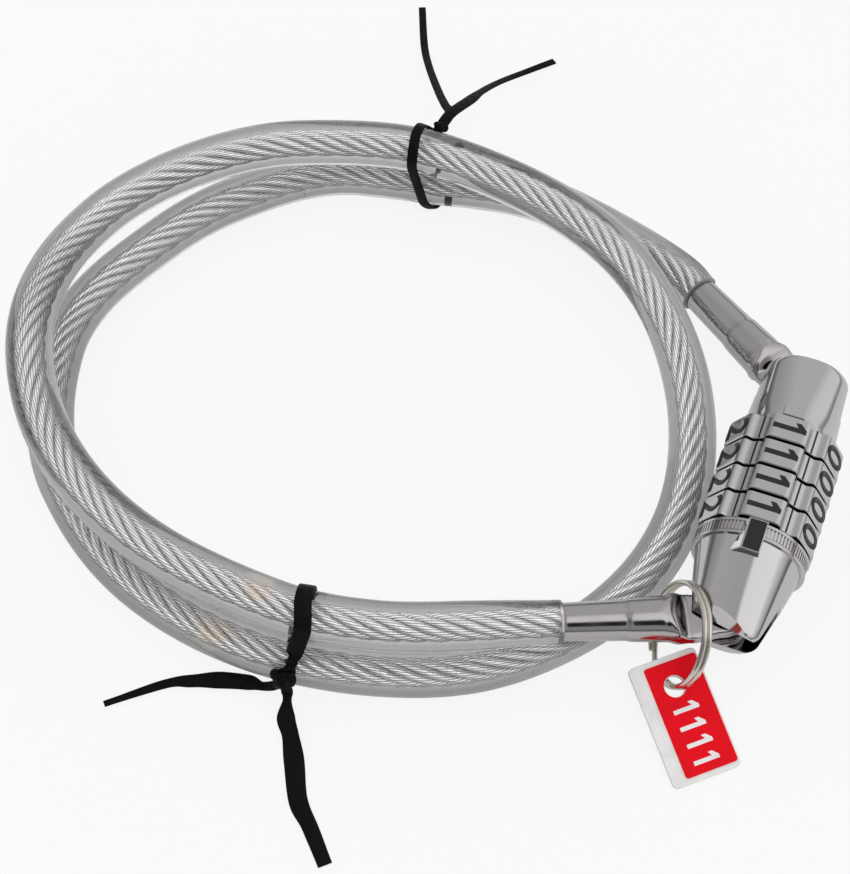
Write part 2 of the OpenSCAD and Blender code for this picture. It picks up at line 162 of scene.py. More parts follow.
class NodeTree:
    """A node tree that is written as calls: node() adds one node and returns its output as a Term."""

    def __init__(self, tree):
        self.tree = tree
        self.tree.nodes.clear()

    def node(self, kind, values=None, output=0, **settings):
        made = self.tree.nodes.new(kind)
        for key, value in settings.items():
            setattr(made, key, value)
        for key, value in (values or {}).items():
            self.feed(made.inputs[key], value)
        return Term(self, made.outputs[output])

    def feed(self, socket, value):
        if isinstance(value, Term):
            self.tree.links.new(value.socket, socket)
        else:
            socket.default_value = value

    def close(self, kind, made):
        """Ends the tree with an output node of this kind."""
        self.feed(self.tree.nodes.new(kind).inputs[0], made)

    def vector(self, operation, first, second=None, scale=None, output=0):
        values = {0: first, 1: second, "Scale": scale}
        given = {key: value for key, value in values.items() if value is not None}
        return self.node("ShaderNodeVectorMath", given, output, operation=operation)

    def steps(self, value, stops):
        """A grey level that follows the value through (place, level) stops."""
        level = self.node("ShaderNodeValToRGB", {0: value})
        elements = level.socket.node.color_ramp.elements
        while len(elements) < len(stops):
            elements.new(0.5)
        for element, (place, grey) in zip(elements, stops):
            element.position = place
            element.color = (grey, grey, grey, 1)
        return level

    def place(self):
        return self.node("ShaderNodeTexCoord", output="Object")

    def rays(self):
        """Whether a ray is the camera's own, mirrored, or sent on by a clear surface."""
        kinds = self.node("ShaderNodeLightPath").socket.node.outputs
        return [Term(self, kinds[f"Is {kind} Ray"]) for kind in ("Camera", "Glossy", "Transmission")]


class Finish(NodeTree):
    """A material with one Principled surface; constants are set on the surface's own sockets."""

    def __init__(self, name, color, **constants):
        self.material = bpy.data.materials.new(name)
        self.material.use_nodes = True
        super().__init__(self.material.node_tree)
        self.end = self.tree.nodes.new("ShaderNodeOutputMaterial")
        self.surface = self.tree.nodes.new("ShaderNodeBsdfPrincipled")
        self.tree.links.new(self.surface.outputs[0], self.end.inputs[0])
        self.set("Base Color", (*color, 1))
        for key, value in constants.items():
            self.set(key.replace("_", " ").title().replace("Ior", "IOR"), value)

    def set(self, socket, value):
        self.feed(self.surface.inputs[socket], value)

    def noise(self, scale, detail=3.0, where=None):
        where = where or self.place()
        return self.node("ShaderNodeTexNoise", {"Vector": where, "Scale": scale, "Detail": detail})

    def blend(self, factor, first, second):
        first, second = (c if isinstance(c, Term) else (*c, 1) for c in (first, second))
        return self.node("ShaderNodeMix", {0: factor, 6: first, 7: second}, output=2, data_type="RGBA")

    def bump(self, height, strength, distance):
        self.set("Normal", self.node("ShaderNodeBump",
                                     {"Height": height, "Strength": strength, "Distance": distance}))


class Shaper(NodeTree):
    """A geometry tree with named inputs. Its last nodes realise what it made and set its material."""

    def __init__(self, name, **inputs):
        super().__init__(bpy.data.node_groups.new(name, "GeometryNodeTree"))
        sockets = self.tree.interface
        for label, kind in {"Path": "Geometry", **inputs, "Finish": "Material"}.items():
            sockets.new_socket(label, in_out="INPUT", socket_type="NodeSocket" + kind)
        sockets.new_socket("Made", in_out="OUTPUT", socket_type="NodeSocketGeometry")
        self.entry = self.tree.nodes.new("NodeGroupInput")

    def size(self, label):
        return Term(self, self.entry.outputs[label])

    def path_line(self):
        return self.node("GeometryNodeMeshToCurve", {0: self.size("Path")})

    def path_value(self, name):
        return self.node("GeometryNodeInputNamedAttribute", {"Name": name})

    def circle(self, sides, radius):
        return self.node("GeometryNodeCurvePrimitiveCircle", {"Resolution": sides, "Radius": radius},
                         mode="RADIUS")

    def sweep(self, line, section, **more):
        """The section drawn along the line, closed at both ends."""
        return self.node("GeometryNodeCurveToMesh",
                         {"Curve": line, "Profile Curve": section, "Fill Caps": True, **more})

    def end(self, made, smooth=True):
        if smooth:
            made = self.node("GeometryNodeSetShadeSmooth", {0: made})
        plain = self.node("GeometryNodeRealizeInstances", {0: made})
        self.close("NodeGroupOutput", self.node("GeometryNodeSetMaterial",
                                                {"Geometry": plain, "Material": self.size("Finish")}))

    def grow(self, name, finish, points=((0, 0, 0),), closed=False, attributes=None, **sizes):
        """Runs the tree on a path of points and returns its result as a plain mesh piece."""
        edges = [(i, i + 1) for i in range(len(points) - 1)]
        if closed:
            edges.append((len(points) - 1, 0))
        attributes = {"wide": [1.0] * len(points), **(attributes or {})}
        path = bpy.data.meshes.new(name + "_path")
        path.from_pydata([Vector(p) * MM for p in points], edges, [])
        for label, values in attributes.items():
            path.attributes.new(label, "FLOAT", "POINT").data.foreach_set("value", values)
        seed = bpy.data.objects.new(name + "_seed", path)
        bpy.context.scene.collection.objects.link(seed)
        grower = seed.modifiers.new("grow", "NODES")
        grower.node_group = self.tree
        sizes["Finish"] = finish.material
        for item in self.tree.interface.items_tree:
            if item.in_out == "INPUT" and item.name in sizes:
                grower[item.identifier] = sizes[item.name]
        bpy.context.view_layer.update()
        shown = seed.evaluated_get(bpy.context.evaluated_depsgraph_get())
        mesh = bpy.data.meshes.new_from_object(shown)
        bpy.data.objects.remove(seed)
        return link_piece(name, mesh)


def link_piece(name, mesh):
    mesh.name = name
    piece = bpy.data.objects.new(name, mesh)
    bpy.context.scene.collection.objects.link(piece)
    return piece


def mesh_piece(name, shape, material):
    """A piece from a bmesh, which it frees."""
    mesh = bpy.data.meshes.new(name)
    shape.to_mesh(mesh)
    shape.free()
    mesh.materials.append(material)
    return link_piece(name, mesh)


def ride_as(piece, body, slot, *nodes):
    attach(piece, body)
    if nodes:
        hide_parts(*nodes)
    return piece


# Finishes


def chrome(name, color, rough, dull):
    """Bright plate: fine polishing marks, a slight ripple and duller rubbed places."""
    finish = Finish(name, color, metallic=1.0)
    rubbed = finish.steps(finish.noise(160, 4), [(0.45, 0.0), (0.75, 1.0)])
    finish.set("Roughness", rough + dull * rubbed + 0.02 * finish.noise(2600, 2))
    finish.bump(finish.noise(420, 1), 0.035, 0.2 * MM)
    return finish


LOCK_CHROME = chrome("lock_chrome", (0.57, 0.55, 0.555), 0.05, 0.10)
DIAL_CHROME = chrome("dial_chrome", (0.57, 0.56, 0.56), 0.10, 0.12)
FERRULE_CHROME = chrome("ferrule_chrome", (0.46, 0.44, 0.445), 0.12, 0.08)
RING_NICKEL = chrome("ring_nickel", (0.70, 0.66, 0.60), 0.16, 0.12)


def turned_steel():
    """Bare turned steel, with fine rings of tool marks along the lock's axis."""
    finish = Finish("inner_steel", (0.55, 0.55, 0.56), metallic=1.0)
    waves = {"Vector": finish.place(), "Scale": 900.0, "Distortion": 1.5, "Detail": 2.0}
    marks = finish.node("ShaderNodeTexWave", waves, output=1, bands_direction="Y")
    stain = finish.steps(finish.noise(240, 4), [(0.4, 0.0), (0.7, 1.0)])
    finish.set("Roughness", 0.26 + 0.10 * marks + 0.12 * stain)
    finish.set("Base Color", finish.blend(stain, (0.56, 0.56, 0.57), (0.42, 0.41, 0.40)))
    finish.bump(marks, 0.08, 0.05 * MM)
    return finish


def digit_paint():
    """Black filling paint, slightly uneven."""
    finish = Finish("digit_black", (0.008, 0.008, 0.009))
    finish.set("Roughness", 0.34 + 0.2 * finish.noise(900, 2))
    finish.bump(finish.noise(1500, 2), 0.2, 0.05 * MM)
    return finish


def wire():
    """Galvanised wire: bright on the wires' backs, with painted shade darkening the hollows between them and
    the core.
    """
    finish = Finish("wire_rope", (0.8, 0.8, 0.79), metallic=0.45)
    hollow = finish.node("ShaderNodeAttribute", output="Fac", attribute_name="hollow")
    cloud = finish.noise(420, 3)
    # Painted shade: where the hollow mark is high, the base colour is nearly black.
    hollow_shade = finish.steps(hollow, [(0.35, 0.0), (0.85, 1.0)]) * (0.7 + 0.3 * cloud)
    finish.set("Base Color", finish.blend(hollow_shade, (0.98, 0.98, 0.98), (0.09, 0.09, 0.09)))
    finish.set("Roughness", 0.16 + 0.2 * cloud)
    return finish


STAIN_AT = [Vector((-88.0, -56.0, 19.5)), Vector((-95.5, -64.0, 9.0))]
STAIN_R = 4


def clear_plastic():
    """Clear soft plastic, smokier where it is looked through edge on, with faint tan marks and scuffs.

    Lamps shine through it.
    """
    finish = Finish("clear_jacket", (0.44, 0.44, 0.44), transmission_weight=1.0, ior=1.44)
    place = finish.place()
    ragged = finish.noise(300, 3, place)
    stain = 0.0
    for spot in STAIN_AT:
        far = finish.vector("DISTANCE", place, spot * MM, output="Value")
        reach = far / (STAIN_R * MM) + 0.7 * (ragged - 0.5)
        stain = stain + finish.steps(reach, [(0.6, 1.0), (1.0, 0.0)])
    facing = finish.node("ShaderNodeLayerWeight", output="Facing")
    edge_on = finish.steps(facing, [(0.16, 0.0), (0.34, 1.0)])
    smoke = finish.blend(edge_on, (0.55, 0.55, 0.55), (0.28, 0.28, 0.28))
    finish.set("Base Color", finish.blend(stain, smoke, (0.58, 0.5, 0.43)))
    scuff = finish.steps(finish.noise(190, 5, place), [(0.5, 0.0), (0.8, 1.0)])
    finish.set("Roughness", 0.01 + 0.05 * scuff + 0.2 * stain)
    lamp = finish.node("ShaderNodeLightPath", output="Is Shadow Ray")
    through = finish.node("ShaderNodeBsdfTransparent", {0: (0.9, 0.89, 0.89, 1)})
    surface = Term(finish, finish.surface.outputs[0])
    both = finish.node("ShaderNodeMixShader", {0: lamp, 1: surface, 2: through})
    finish.feed(finish.end.inputs[0], both)
    return finish


def cut_plastic():
    """The cut end of the jacket: milky and rough from the blade."""
    finish = Finish("jacket_cut", (0.40, 0.40, 0.40), specular_ior_level=0.3)
    grain = finish.noise(1400, 3)
    finish.set("Roughness", 0.45 + 0.2 * grain)
    finish.bump(grain, 0.3, 0.2 * MM)
    return finish


def tie_plastic():
    """Black plastic ribbon over a thin wire: creased along its length, with a dull shine, and painted shade
    that darkens it a little where the creases dip.
    """
    finish = Finish("tie_black", (0.003, 0.003, 0.003), specular_ior_level=0.1)
    place = finish.place()
    crease_and_shade = finish.noise(520, 4, place)
    # Painted shade: the base colour is darker where the crease bump is low.
    finish.set("Base Color", finish.blend(crease_and_shade, (0.002, 0.002, 0.002), (0.006, 0.006, 0.006)))
    finish.set("Roughness", 0.32 + 0.3 * finish.noise(260, 2, place))
    finish.bump(crease_and_shade, 0.55, 0.5 * MM)
    return finish


def gloss_plastic(name, color, worn):
    """Moulded plastic with a faint ripple and worn, dirtier places."""
    finish = Finish(name, color, specular_ior_level=0.08)
    grime = finish.steps(finish.noise(260, 4), [(0.5, 0.0), (0.8, 1.0)])
    finish.set("Base Color", finish.blend(grime, color, worn))
    finish.set("Roughness", 0.32 + 0.2 * grime)
    finish.bump(finish.noise(700, 2), 0.05, 0.2 * MM)
    return finish


INNER_STEEL = turned_steel()
DIGIT_BLACK = digit_paint()
WIRE = wire()
CLEAR = clear_plastic()
# The unseen face where two lengths of one jacket run on into each other
SEAM = Finish("jacket_seam", (1, 1, 1), alpha=0.0)
CUT = cut_plastic()
TIE_BLACK = tie_plastic()
TAG_WHITE = gloss_plastic("tag_white", (0.86, 0.86, 0.85), (0.74, 0.73, 0.71))
TAG_RED = gloss_plastic("tag_red", (0.84, 0.003, 0.012), (0.72, 0.003, 0.01))
TAG_DIGIT = gloss_plastic("tag_digit", (0.88, 0.87, 0.87), (0.80, 0.74, 0.74))


# Shape trees


def tube_tree():
    """A round tube along the path, closed at both ends; the path's own values say how wide it is."""
    tree = Shaper("tube", Radius="Float", Sides="Int")
    ring = tree.circle(tree.size("Sides"), tree.size("Radius"))
    tree.end(tree.sweep(tree.path_line(), ring, Scale=tree.path_value("wide")))
    return tree


def rope_tree():
    """Strands laid round a core, right-handed; the wires of a strand turn the other way."""
    tree = Shaper("wire_rope", Strands="Int", Strand="Float", Lay_Radius="Float", Lay="Float",
                  Wire_Lay="Float", Wires="Int", Wire_Depth="Float", Core="Float", Step="Float",
                  Run_Before="Float")
    full_turn = 2 * math.pi
    even = tree.node("GeometryNodeResampleCurve", {"Curve": tree.path_line(), "Length": tree.size("Step")},
                     mode="LENGTH")
    copies = tree.node("GeometryNodeDuplicateElements", {"Geometry": even, "Amount": tree.size("Strands")},
                       domain="SPLINE")
    number = Term(tree, copies.socket.node.outputs["Duplicate Index"])
    ahead = tree.node("GeometryNodeInputTangent")
    side = tree.vector("NORMALIZE", tree.vector("CROSS_PRODUCT", ahead, (0, 0, 1)))
    rise = tree.vector("CROSS_PRODUCT", side, ahead)
    run = tree.node("GeometryNodeSplineParameter", output="Length")
    laid = (run + tree.size("Run_Before")) * full_turn / tree.size("Lay")
    turn = number * full_turn / tree.size("Strands") - laid
    across = turn.math("COSINE", turn) * tree.size("Lay_Radius")
    above = turn.math("SINE", turn) * tree.size("Lay_Radius")
    offset = tree.vector("ADD", tree.vector("SCALE", side, scale=across),
                         tree.vector("SCALE", rise, scale=above))
    strands = tree.node("GeometryNodeSetPosition", {"Geometry": copies, "Offset": offset})
    twisted = tree.node("GeometryNodeSetCurveTilt",
                        {"Curve": strands, "Tilt": run * -full_turn / tree.size("Wire_Lay")})
    hollow = tree.node("GeometryNodeInputIndex") % 2
    lobes = tree.vector("SCALE", tree.node("GeometryNodeInputPosition"),
                        scale=1 - hollow * tree.size("Wire_Depth"))
    section = tree.circle(tree.size("Wires") * 2, tree.size("Strand"))
    section = tree.node("GeometryNodeSetPosition", {"Geometry": section, "Position": lobes})
    # The hollows between the wires are marked, and the wire finish paints shade there.
    section = tree.node("GeometryNodeStoreNamedAttribute",
                        {"Geometry": section, "Name": "hollow", "Value": hollow})
    core = tree.sweep(even, tree.circle(8, tree.size("Core")))
    # The core is marked all hollow, so it is painted dark as shade in the gaps between the strands.
    core = tree.node("GeometryNodeStoreNamedAttribute", {"Geometry": core, "Name": "hollow", "Value": 1.0})
    both = tree.tree.nodes.new("GeometryNodeJoinGeometry")
    for wall in (core, tree.sweep(twisted, section)):
        tree.feed(both.inputs[0], wall)
    tree.end(Term(tree, both.outputs[0]))
    return tree


def ribbon_tree(name, lies):
    """A flat ribbon along the path; the path's own values say how wide it is and how far it has twisted."""
    tree = Shaper(name, Width="Float", Thickness="Float")
    line = tree.node("GeometryNodeSetCurveNormal", {"Curve": tree.path_line()}, mode=lies)
    line = tree.node("GeometryNodeSetCurveTilt", {"Curve": line, "Tilt": tree.path_value("twist")})
    section = tree.node("GeometryNodeCurvePrimitiveQuadrilateral",
                        {"Width": tree.size("Width"), "Height": tree.size("Thickness")})
    section = tree.node("GeometryNodeFilletCurve",
                        {"Curve": section, "Count": 2, "Radius": tree.size("Thickness") * 0.49}, mode="POLY")
    tree.end(tree.sweep(line, section, Scale=tree.path_value("wide")))
    return tree


def rib_tree():
    """A row of small ribs round the lock's axis."""
    tree = Shaper("rim_ribs", Count="Int", Radius="Float", Height="Float", Width="Float", Length="Float")
    places = tree.node("GeometryNodeMeshCircle",
                       {"Vertices": tree.size("Count"), "Radius": tree.size("Radius")})
    shape = tree.node("ShaderNodeCombineXYZ",
                      {0: tree.size("Height"), 1: tree.size("Width"), 2: tree.size("Length")})
    rib = tree.node("GeometryNodeMeshCube", {"Size": shape})
    turn = tree.node("GeometryNodeInputIndex") * (2 * math.pi) / tree.size("Count")
    facing = tree.node("ShaderNodeCombineXYZ", {2: turn})
    tree.end(tree.node("GeometryNodeInstanceOnPoints",
                       {"Points": places, "Instance": rib, "Rotation": facing}), smooth=False)
    return tree


TUBE = tube_tree()
ROPE = rope_tree()
BAND = ribbon_tree("tie_band", "MINIMUM_TWIST")
LOOSE_RIBBON = ribbon_tree("tie_tail", "Z_UP")
RIBS = rib_tree()


# Cable: one smooth line from the lower ferrule round the coil to the plug's ferrule

JACKET_D = 10
ROPE_D = 4.2
STRANDS = 6
STRAND_R = 0.7
LAY = 28.2
WIRES = 9
WIRE_LAY = 15
WIRE_DEPTH = 0.22
CORE_SHARE = 0.75
ROPE_STEP = 0.75
BARREL_END = 34.05
SOCKET_END = 23
END_STRAIGHT = 7
COIL_AT = Vector((-88.8, 0, 0))
COIL_R = 66
COIL_OVAL = 6.5
OVAL_TURN = 190
COIL_START = 81
COIL_END = 625
COIL_RISE = 10.5
COIL_DROP = (310, 364)
COIL_STEP = 1.25
COIL_LEAD = 10
DIP = 0.5
DIP_IN = (163, 196)
DIP_OUT = (202, 237)
LANES = [(85, 65, -3), (150, 45, -1), (190, 45, -0.1), (230, 45, -2), (234, 34, -2.4), (268, 45, -1.5),
         (390, 45, 0.5), (428, 45, 1), (468, 50, 3), (510, 40, -1), (540, 40, -6), (570, 40, -10.2),
         (604, 40, -4)]
END_A_ROUTE = [(-84, 60.5, 5.1), (-75, 61.8, 5.2), (-66, 61.8, 5.2), (-57, 60, 5.4), (-46.5, 56.5, 6.4)]
END_B_ROUTE = [(-68, -55.5, 15.5), (-56, -52, 15.5)]
PIN_A = Vector(JOINTS["ferrule_a_swivel"]["pos_m"]) / MM
PIN_B = Vector(JOINTS["ferrule_b_swivel"]["pos_m"]) / MM
FERRULE_A = (145, -4)
FERRULE_B = (205, 6)
SEAM_B = 95
SEAM_A = 596
SPLIT_A = 4.5
NECKED = 0.88
NECK_L = 22
TUBE_SIDES = 32
BLEND_A = 1.5
BLEND_B = 4
STEPS = 8


def turn_r(s):
    shift = sum(v * bump(s, middle, half) for middle, half, v in LANES)
    return COIL_R + COIL_OVAL * math.cos(2 * math.radians(s - OVAL_TURN)) + shift


def turn_z(s):
    dip = DIP * ramp(s, *DIP_IN) - DIP * ramp(s, *DIP_OUT)
    return JACKET_D / 2 + COIL_RISE * (1 - dip - ramp(s, *COIL_DROP))


def coil_point(s):
    a = math.radians(-s)
    return COIL_AT + Vector((turn_r(s) * math.cos(a), turn_r(s) * math.sin(a), turn_z(s)))


def curve_points(points, before, after):
    """Points of a smooth curve through a route's points; before and after steer its two ends."""
    q = [Vector(p) for p in [before, *points, after]]
    made = []
    for i in range(1, len(q) - 2):
        p0, p1, p2, p3 = q[i - 1:i + 3]
        for k in range(STEPS):
            t = k / STEPS
            made.append(0.5 * (2 * p1 + (p2 - p0) * t + (2 * p0 - 5 * p1 + 4 * p2 - p3) * t * t
                               + (3 * p1 - p0 - 3 * p2 + p3) * t * t * t))
    return [*made, q[-2]]


def coil_run(start, end):
    count = round((end - start) / COIL_STEP)
    return [coil_point(mix(start, end, i / count)) for i in range(count + 1)]


def ferrule_a(u):
    """A point on the plug's cable end, at u from its pin."""
    return PIN_A + u * unit_way(*FERRULE_A)


def ferrule_b(u):
    return PIN_B + u * unit_way(*FERRULE_B)


def line_length(points):
    return sum((b - a).length for a, b in zip(points, points[1:]))


mouth_a = ferrule_a(BARREL_END)
mouth_b = ferrule_b(BARREL_END)
end_b_line = curve_points(
    [mouth_b, ferrule_b(BARREL_END + END_STRAIGHT), *reversed(END_B_ROUTE), coil_point(COIL_START)],
    ferrule_b(BARREL_END - END_STRAIGHT), coil_point(COIL_START + COIL_LEAD))
end_a_line = curve_points(
    [coil_point(COIL_END), *END_A_ROUTE, ferrule_a(BARREL_END + END_STRAIGHT), mouth_a],
    coil_point(COIL_END - COIL_LEAD), ferrule_a(BARREL_END - END_STRAIGHT))
split = round(SPLIT_A * STEPS)

cable_lines = {
    "end_b": end_b_line + coil_run(COIL_START, SEAM_B)[1:],
    "coil": coil_run(SEAM_B, SEAM_A),
    "end_a": coil_run(SEAM_A, COIL_END) + end_a_line[1:split + 1],
    "end_a_lock": end_a_line[split:],
}


def from_mouth(p):
    """How far a point is from the nearer ferrule's mouth."""
    return min((p - mouth_a).length, (p - mouth_b).length)


def jacket(name, line):
    """One length of the clear jacket; an end away from the ferrules runs on into the next length."""
    piece = TUBE.grow(name, CLEAR, line, Radius=JACKET_D / 2 * MM, Sides=TUBE_SIDES,
                      attributes={"wide": [mix(NECKED, 1, ramp(from_mouth(p), 0, NECK_L)) for p in line]})
    piece.data.materials.append(SEAM.material)
    piece.data.materials.append(CUT.material)
    seams = [p for p in (line[0], line[-1]) if from_mouth(p) > 1]
    for face in piece.data.polygons:
        if len(face.vertices) > 4:
            face.material_index = 1 if any((face.center / MM - p).length < 1 for p in seams) else 2
    return piece


lay_radius = ROPE_D / 2 - STRAND_R
run_before = 0.0
jackets, ropes = {}, {}
for part, line in cable_lines.items():
    jackets[part] = jacket(f"{part}_clear_tube", line)
    before = [ferrule_b(SOCKET_END)] if part == "end_b" else []
    after = [ferrule_a(SOCKET_END)] if part == "end_a_lock" else []
    rope_line = before + line + after
    ropes[part] = ROPE.grow(
        f"{part}_strands", WIRE, rope_line, Strands=STRANDS, Strand=STRAND_R * MM,
        Lay_Radius=lay_radius * MM, Lay=LAY * MM, Wires=WIRES, Wire_Lay=WIRE_LAY * MM, Wire_Depth=WIRE_DEPTH,
        Core=lay_radius * CORE_SHARE * MM, Step=ROPE_STEP * MM, Run_Before=run_before * MM)
    run_before += line_length(rope_line)

blends = {
    "end_b": ("lock_body", "ferrule_b", cable_lines["end_b"][-1], ferrule_b(BARREL_END + BLEND_B)),
    "end_a": ("lock_body", "plug", coil_point(COIL_END), cable_lines["end_a"][-1]),
    "end_a_lock": ("plug", "ferrule_a", cable_lines["end_a_lock"][0], ferrule_a(BARREL_END + BLEND_A)),
}
for part, (held, moved, start, end) in blends.items():
    for piece in (jackets[part], ropes[part]):
        tuple(start * MM)
        tuple(end * MM)
        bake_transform(piece)
for piece in (jackets["coil"], ropes["coil"]):
    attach(piece, "lock_body")
for part in ("coil", "end_b", "end_a", "end_a_lock"):
    node = "cable_" + part.removesuffix("_lock")
    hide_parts(node + "_jacket")
    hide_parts(node + "_rope")


def cord(line, width):
    """Works out where a cord's line starts, how long and wide it is, and its points in metres, and keeps none
    of it.
    """
    tuple(line[0] * MM)
    line_length(line) * MM
    width * MM
    [tuple(p * MM) for p in line]


# Ties: a black ribbon round both turns of the coil, knotted outside it, with two loose ends

TIE_SLACK = 0.2
TIE_T = 0.7
TIE_LOW = 0.9
BAND_STEPS = 96
BAND_EASE = 0.03
WAIST_NARROW = 0.45
WAIST_HALF = 4
WAIST_TURN = 0.05
KNOT_WIRE = 0.55


def evenly(line, count):
    """Points at even steps round a closed line."""
    following = [*line[1:], line[0]]
    runs = [(b - a).length for a, b in zip(line, following)]
    step = sum(runs) / count
    made, k, passed = [], 0, 0.0
    for i in range(count):
        while passed + runs[k] < i * step:
            passed += runs[k]
            k += 1
        made.append(mix(line[k], following[k], (i * step - passed) / runs[k]))
    return made


def band_line(sweeps):
    """The middle line of a band round both turns, from the top over the inside, kept off the floor.

    The pairs in sweeps say at which sweep of the coil it is, from 0 to 1 of its way round.
    """
    reach = JACKET_D / 2 + TIE_SLACK + TIE_T / 2
    shares = [i / BAND_STEPS for i in range(BAND_STEPS)]
    for _ in range(2):
        made = []
        for share, turn in zip(shares, turns(BAND_STEPS)):
            away = (math.cos(math.pi / 2 + turn), math.sin(math.pi / 2 + turn))
            at = along(sweeps, share, BAND_EASE)
            laps = [(turn_r(s), turn_z(s)) for s in (at, at + 360)]
            r, z = max(laps, key=lambda c: c[0] * away[0] + c[1] * away[1])
            out = Vector((math.cos(math.radians(at)), -math.sin(math.radians(at)), 0))
            made.append(COIL_AT + out * (r + reach * away[0]) + UP * max(z + reach * away[1], TIE_LOW))
        whole = line_length([*made, made[0]])
        shares = [line_length(made[:i + 1]) / whole for i in range(BAND_STEPS)]
    return evenly(made, BAND_STEPS)


def trefoil(at, size):
    """A closed line with the turns of an overhand knot."""
    made = []
    for t in turns(36):
        bend = Vector((math.sin(t) + 2 * math.sin(2 * t), 0.6 * (math.cos(t) - 2 * math.cos(2 * t)),
                       -1.2 * math.sin(3 * t)))
        made.append(at + size / 3 * bend)
    return made


def tail(name, stations):
    """A loose end through (x, y, z, width) stations, cut square."""
    points = [Vector(p[:3]) for p in stations]
    line = curve_points(points, 2 * points[0] - points[1], 2 * points[-1] - points[-2])
    widest = max(p[3] for p in stations)
    wide = []
    for i in range(len(line)):
        k = min(i // STEPS, len(stations) - 2)
        wide.append(mix(stations[k][3], stations[k + 1][3], ramp(i / STEPS - k, 0, 1)) / widest)
    piece = LOOSE_RIBBON.grow(name, TIE_BLACK, line, Width=widest * MM, Thickness=TIE_T * MM,
                              attributes={"wide": wide, "twist": [0.0] * len(line)})
    return piece, line, widest


def joined(name, pieces, finish):
    """One piece from several with the same finish."""
    whole = bmesh.new()
    for piece in pieces:
        whole.from_mesh(piece.data)
        bpy.data.objects.remove(piece)
    return mesh_piece(name, whole, finish.material)


def tie(side, sweeps, width, waist, knot, knot_r, tails):
    """A tie's band and knot, and its two tails; the band turns over at its waist."""
    band = band_line(sweeps)
    far = [(p - Vector(waist)).length for p in band]
    turn_at = far.index(min(far)) / len(band)
    wide = [1 - WAIST_NARROW * bump(d, 0, WAIST_HALF) for d in far]
    twist = [2 * math.pi * ramp(i / len(band), turn_at - WAIST_TURN, turn_at + WAIST_TURN)
             for i in range(len(band))]
    parts = [BAND.grow("band", TIE_BLACK, band, closed=True, Width=width * MM, Thickness=TIE_T * MM,
                       attributes={"wide": wide, "twist": twist}),
             TUBE.grow("knot", TIE_BLACK, trefoil(Vector(knot), knot_r), closed=True,
                       Radius=knot_r * KNOT_WIRE * MM, Sides=10)]
    loop = joined(f"tie_{side}_loop", parts, TIE_BLACK)
    ride_as(loop, "lock_body", "tie_black", f"tie_{side}")
    for number, stations in enumerate(tails, 1):
        loose, line, widest = tail(f"tie_{side}_tail_{number}", stations)
        ride_as(loose, "lock_body", "tie_black")
        cord(line, widest)
    return loop


FRONT_SWEEPS = [(0, 79.6), (0.16, 79.8), (0.34, 81), (0.5, 82), (0.6, 82.2), (0.69, 81.6), (0.73, 80.3),
                (0.78, 79.5), (0.84, 79), (0.93, 78.9), (1, 79.6)]
REAR_SWEEPS = [(0, 261.8), (0.16, 262), (0.25, 263), (0.34, 265), (0.42, 267), (0.5, 269), (0.66, 268.4),
               (0.8, 265.4), (0.9, 262.4), (1, 261.8)]
tie("front", FRONT_SWEEPS, 3.5, (-77.9, -63.5, 9.5), (-78.9, -68.2, 7.6), 1.9, [
    [(-79.2, -68.4, 7, 2.4), (-80.4, -68.9, 5, 2.4), (-83.3, -69, 2.6, 2), (-86.5, -68.8, 1.6, 3.4),
     (-92, -70, 1, 3.7), (-97.2, -72, 0.8, 2.8), (-102, -74.4, 0.7, 2), (-111.7, -82.5, 0.6, 1.4)],
    [(-78.5, -68.6, 7, 2.4), (-77.8, -69, 4.2, 2.4), (-77.5, -69.9, 2.4, 1.8), (-76.4, -73.4, 1.4, 3.7),
     (-74.4, -76.2, 1.1, 3.4), (-71.7, -81, 0.9, 4.1), (-67.9, -88.4, 0.8, 3.8), (-63.8, -92.6, 0.7, 3.2),
     (-58.3, -98.7, 0.6, 2.9)]])
rear_loop = tie("rear", REAR_SWEEPS, 2.3, (-93, 64.8, 8.5), (-93.9, 65.1, 16.7), 1.2, [
    [(-94.4, 63.8, 16.2, 2.4), (-93.3, 69.3, 16.6, 2.4), (-95.6, 72.7, 15, 2), (-99, 78, 12, 1.9),
     (-105.2, 88.7, 6.4, 1.8), (-109.6, 97.5, 2.8, 1.8), (-114.6, 109.8, 0.8, 1.7)],
    [(-94.4, 63.8, 16.2, 2.4), (-93.2, 69.3, 16.6, 2.6), (-91.2, 77.4, 13.2, 2.6), (-90.2, 83.2, 10.2, 1.8),
     (-88.3, 90.1, 6.4, 1.6), (-84.7, 97.9, 2.6, 1.6), (-79.7, 104.9, 0.8, 1.7)]])


# Lock: caps, dials and digits

AXIS_Z = PIN_A.z
SLOT_HALF = 2.2
FORK_DEPTH = 9.7
EASE = 0.8
CAP_CORNER = 2.2
CAP_STEPS = 26
CAP_EDGE = 0.5
UPPER_RECESS = (8.6, 1.85)
LOWER_RECESS = (7.1, 8.9)
CHEEK_CUT = 3.3
CHEEK_CUT_TURN = 19
CHEEK_LEAN = 0.8
CHEEK_MID = 4.2
CHEEK_SHORT = 0.5


def plain_piece(name, points, faces, finish, smooth=True):
    flat = bpy.data.meshes.new("flat")
    flat.from_pydata([Vector(p) * MM for p in points], [], faces)
    shape = bmesh.new()
    shape.from_mesh(flat)
    bpy.data.meshes.remove(flat)
    bmesh.ops.recalc_face_normals(shape, faces=shape.faces)
    for face in shape.faces:
        face.smooth = smooth
    return mesh_piece(name, shape, finish.material)


def soften(piece, width, segments=3, angle=30):
    """Rounds the sharp edges of a piece."""
    edge = piece.modifiers.new("soft_edges", "BEVEL")
    edge.width = width * MM
    edge.segments = segments
    edge.limit_method = "ANGLE"
    edge.angle_limit = math.radians(angle)
    edge.harden_normals = True
    return piece


def ring_wall(ring, following):
    """Faces between two closed rings of vertices."""
    count = len(ring)
    return [(ring[i], ring[(i + 1) % count], following[(i + 1) % count], following[i]) for i in range(count)]


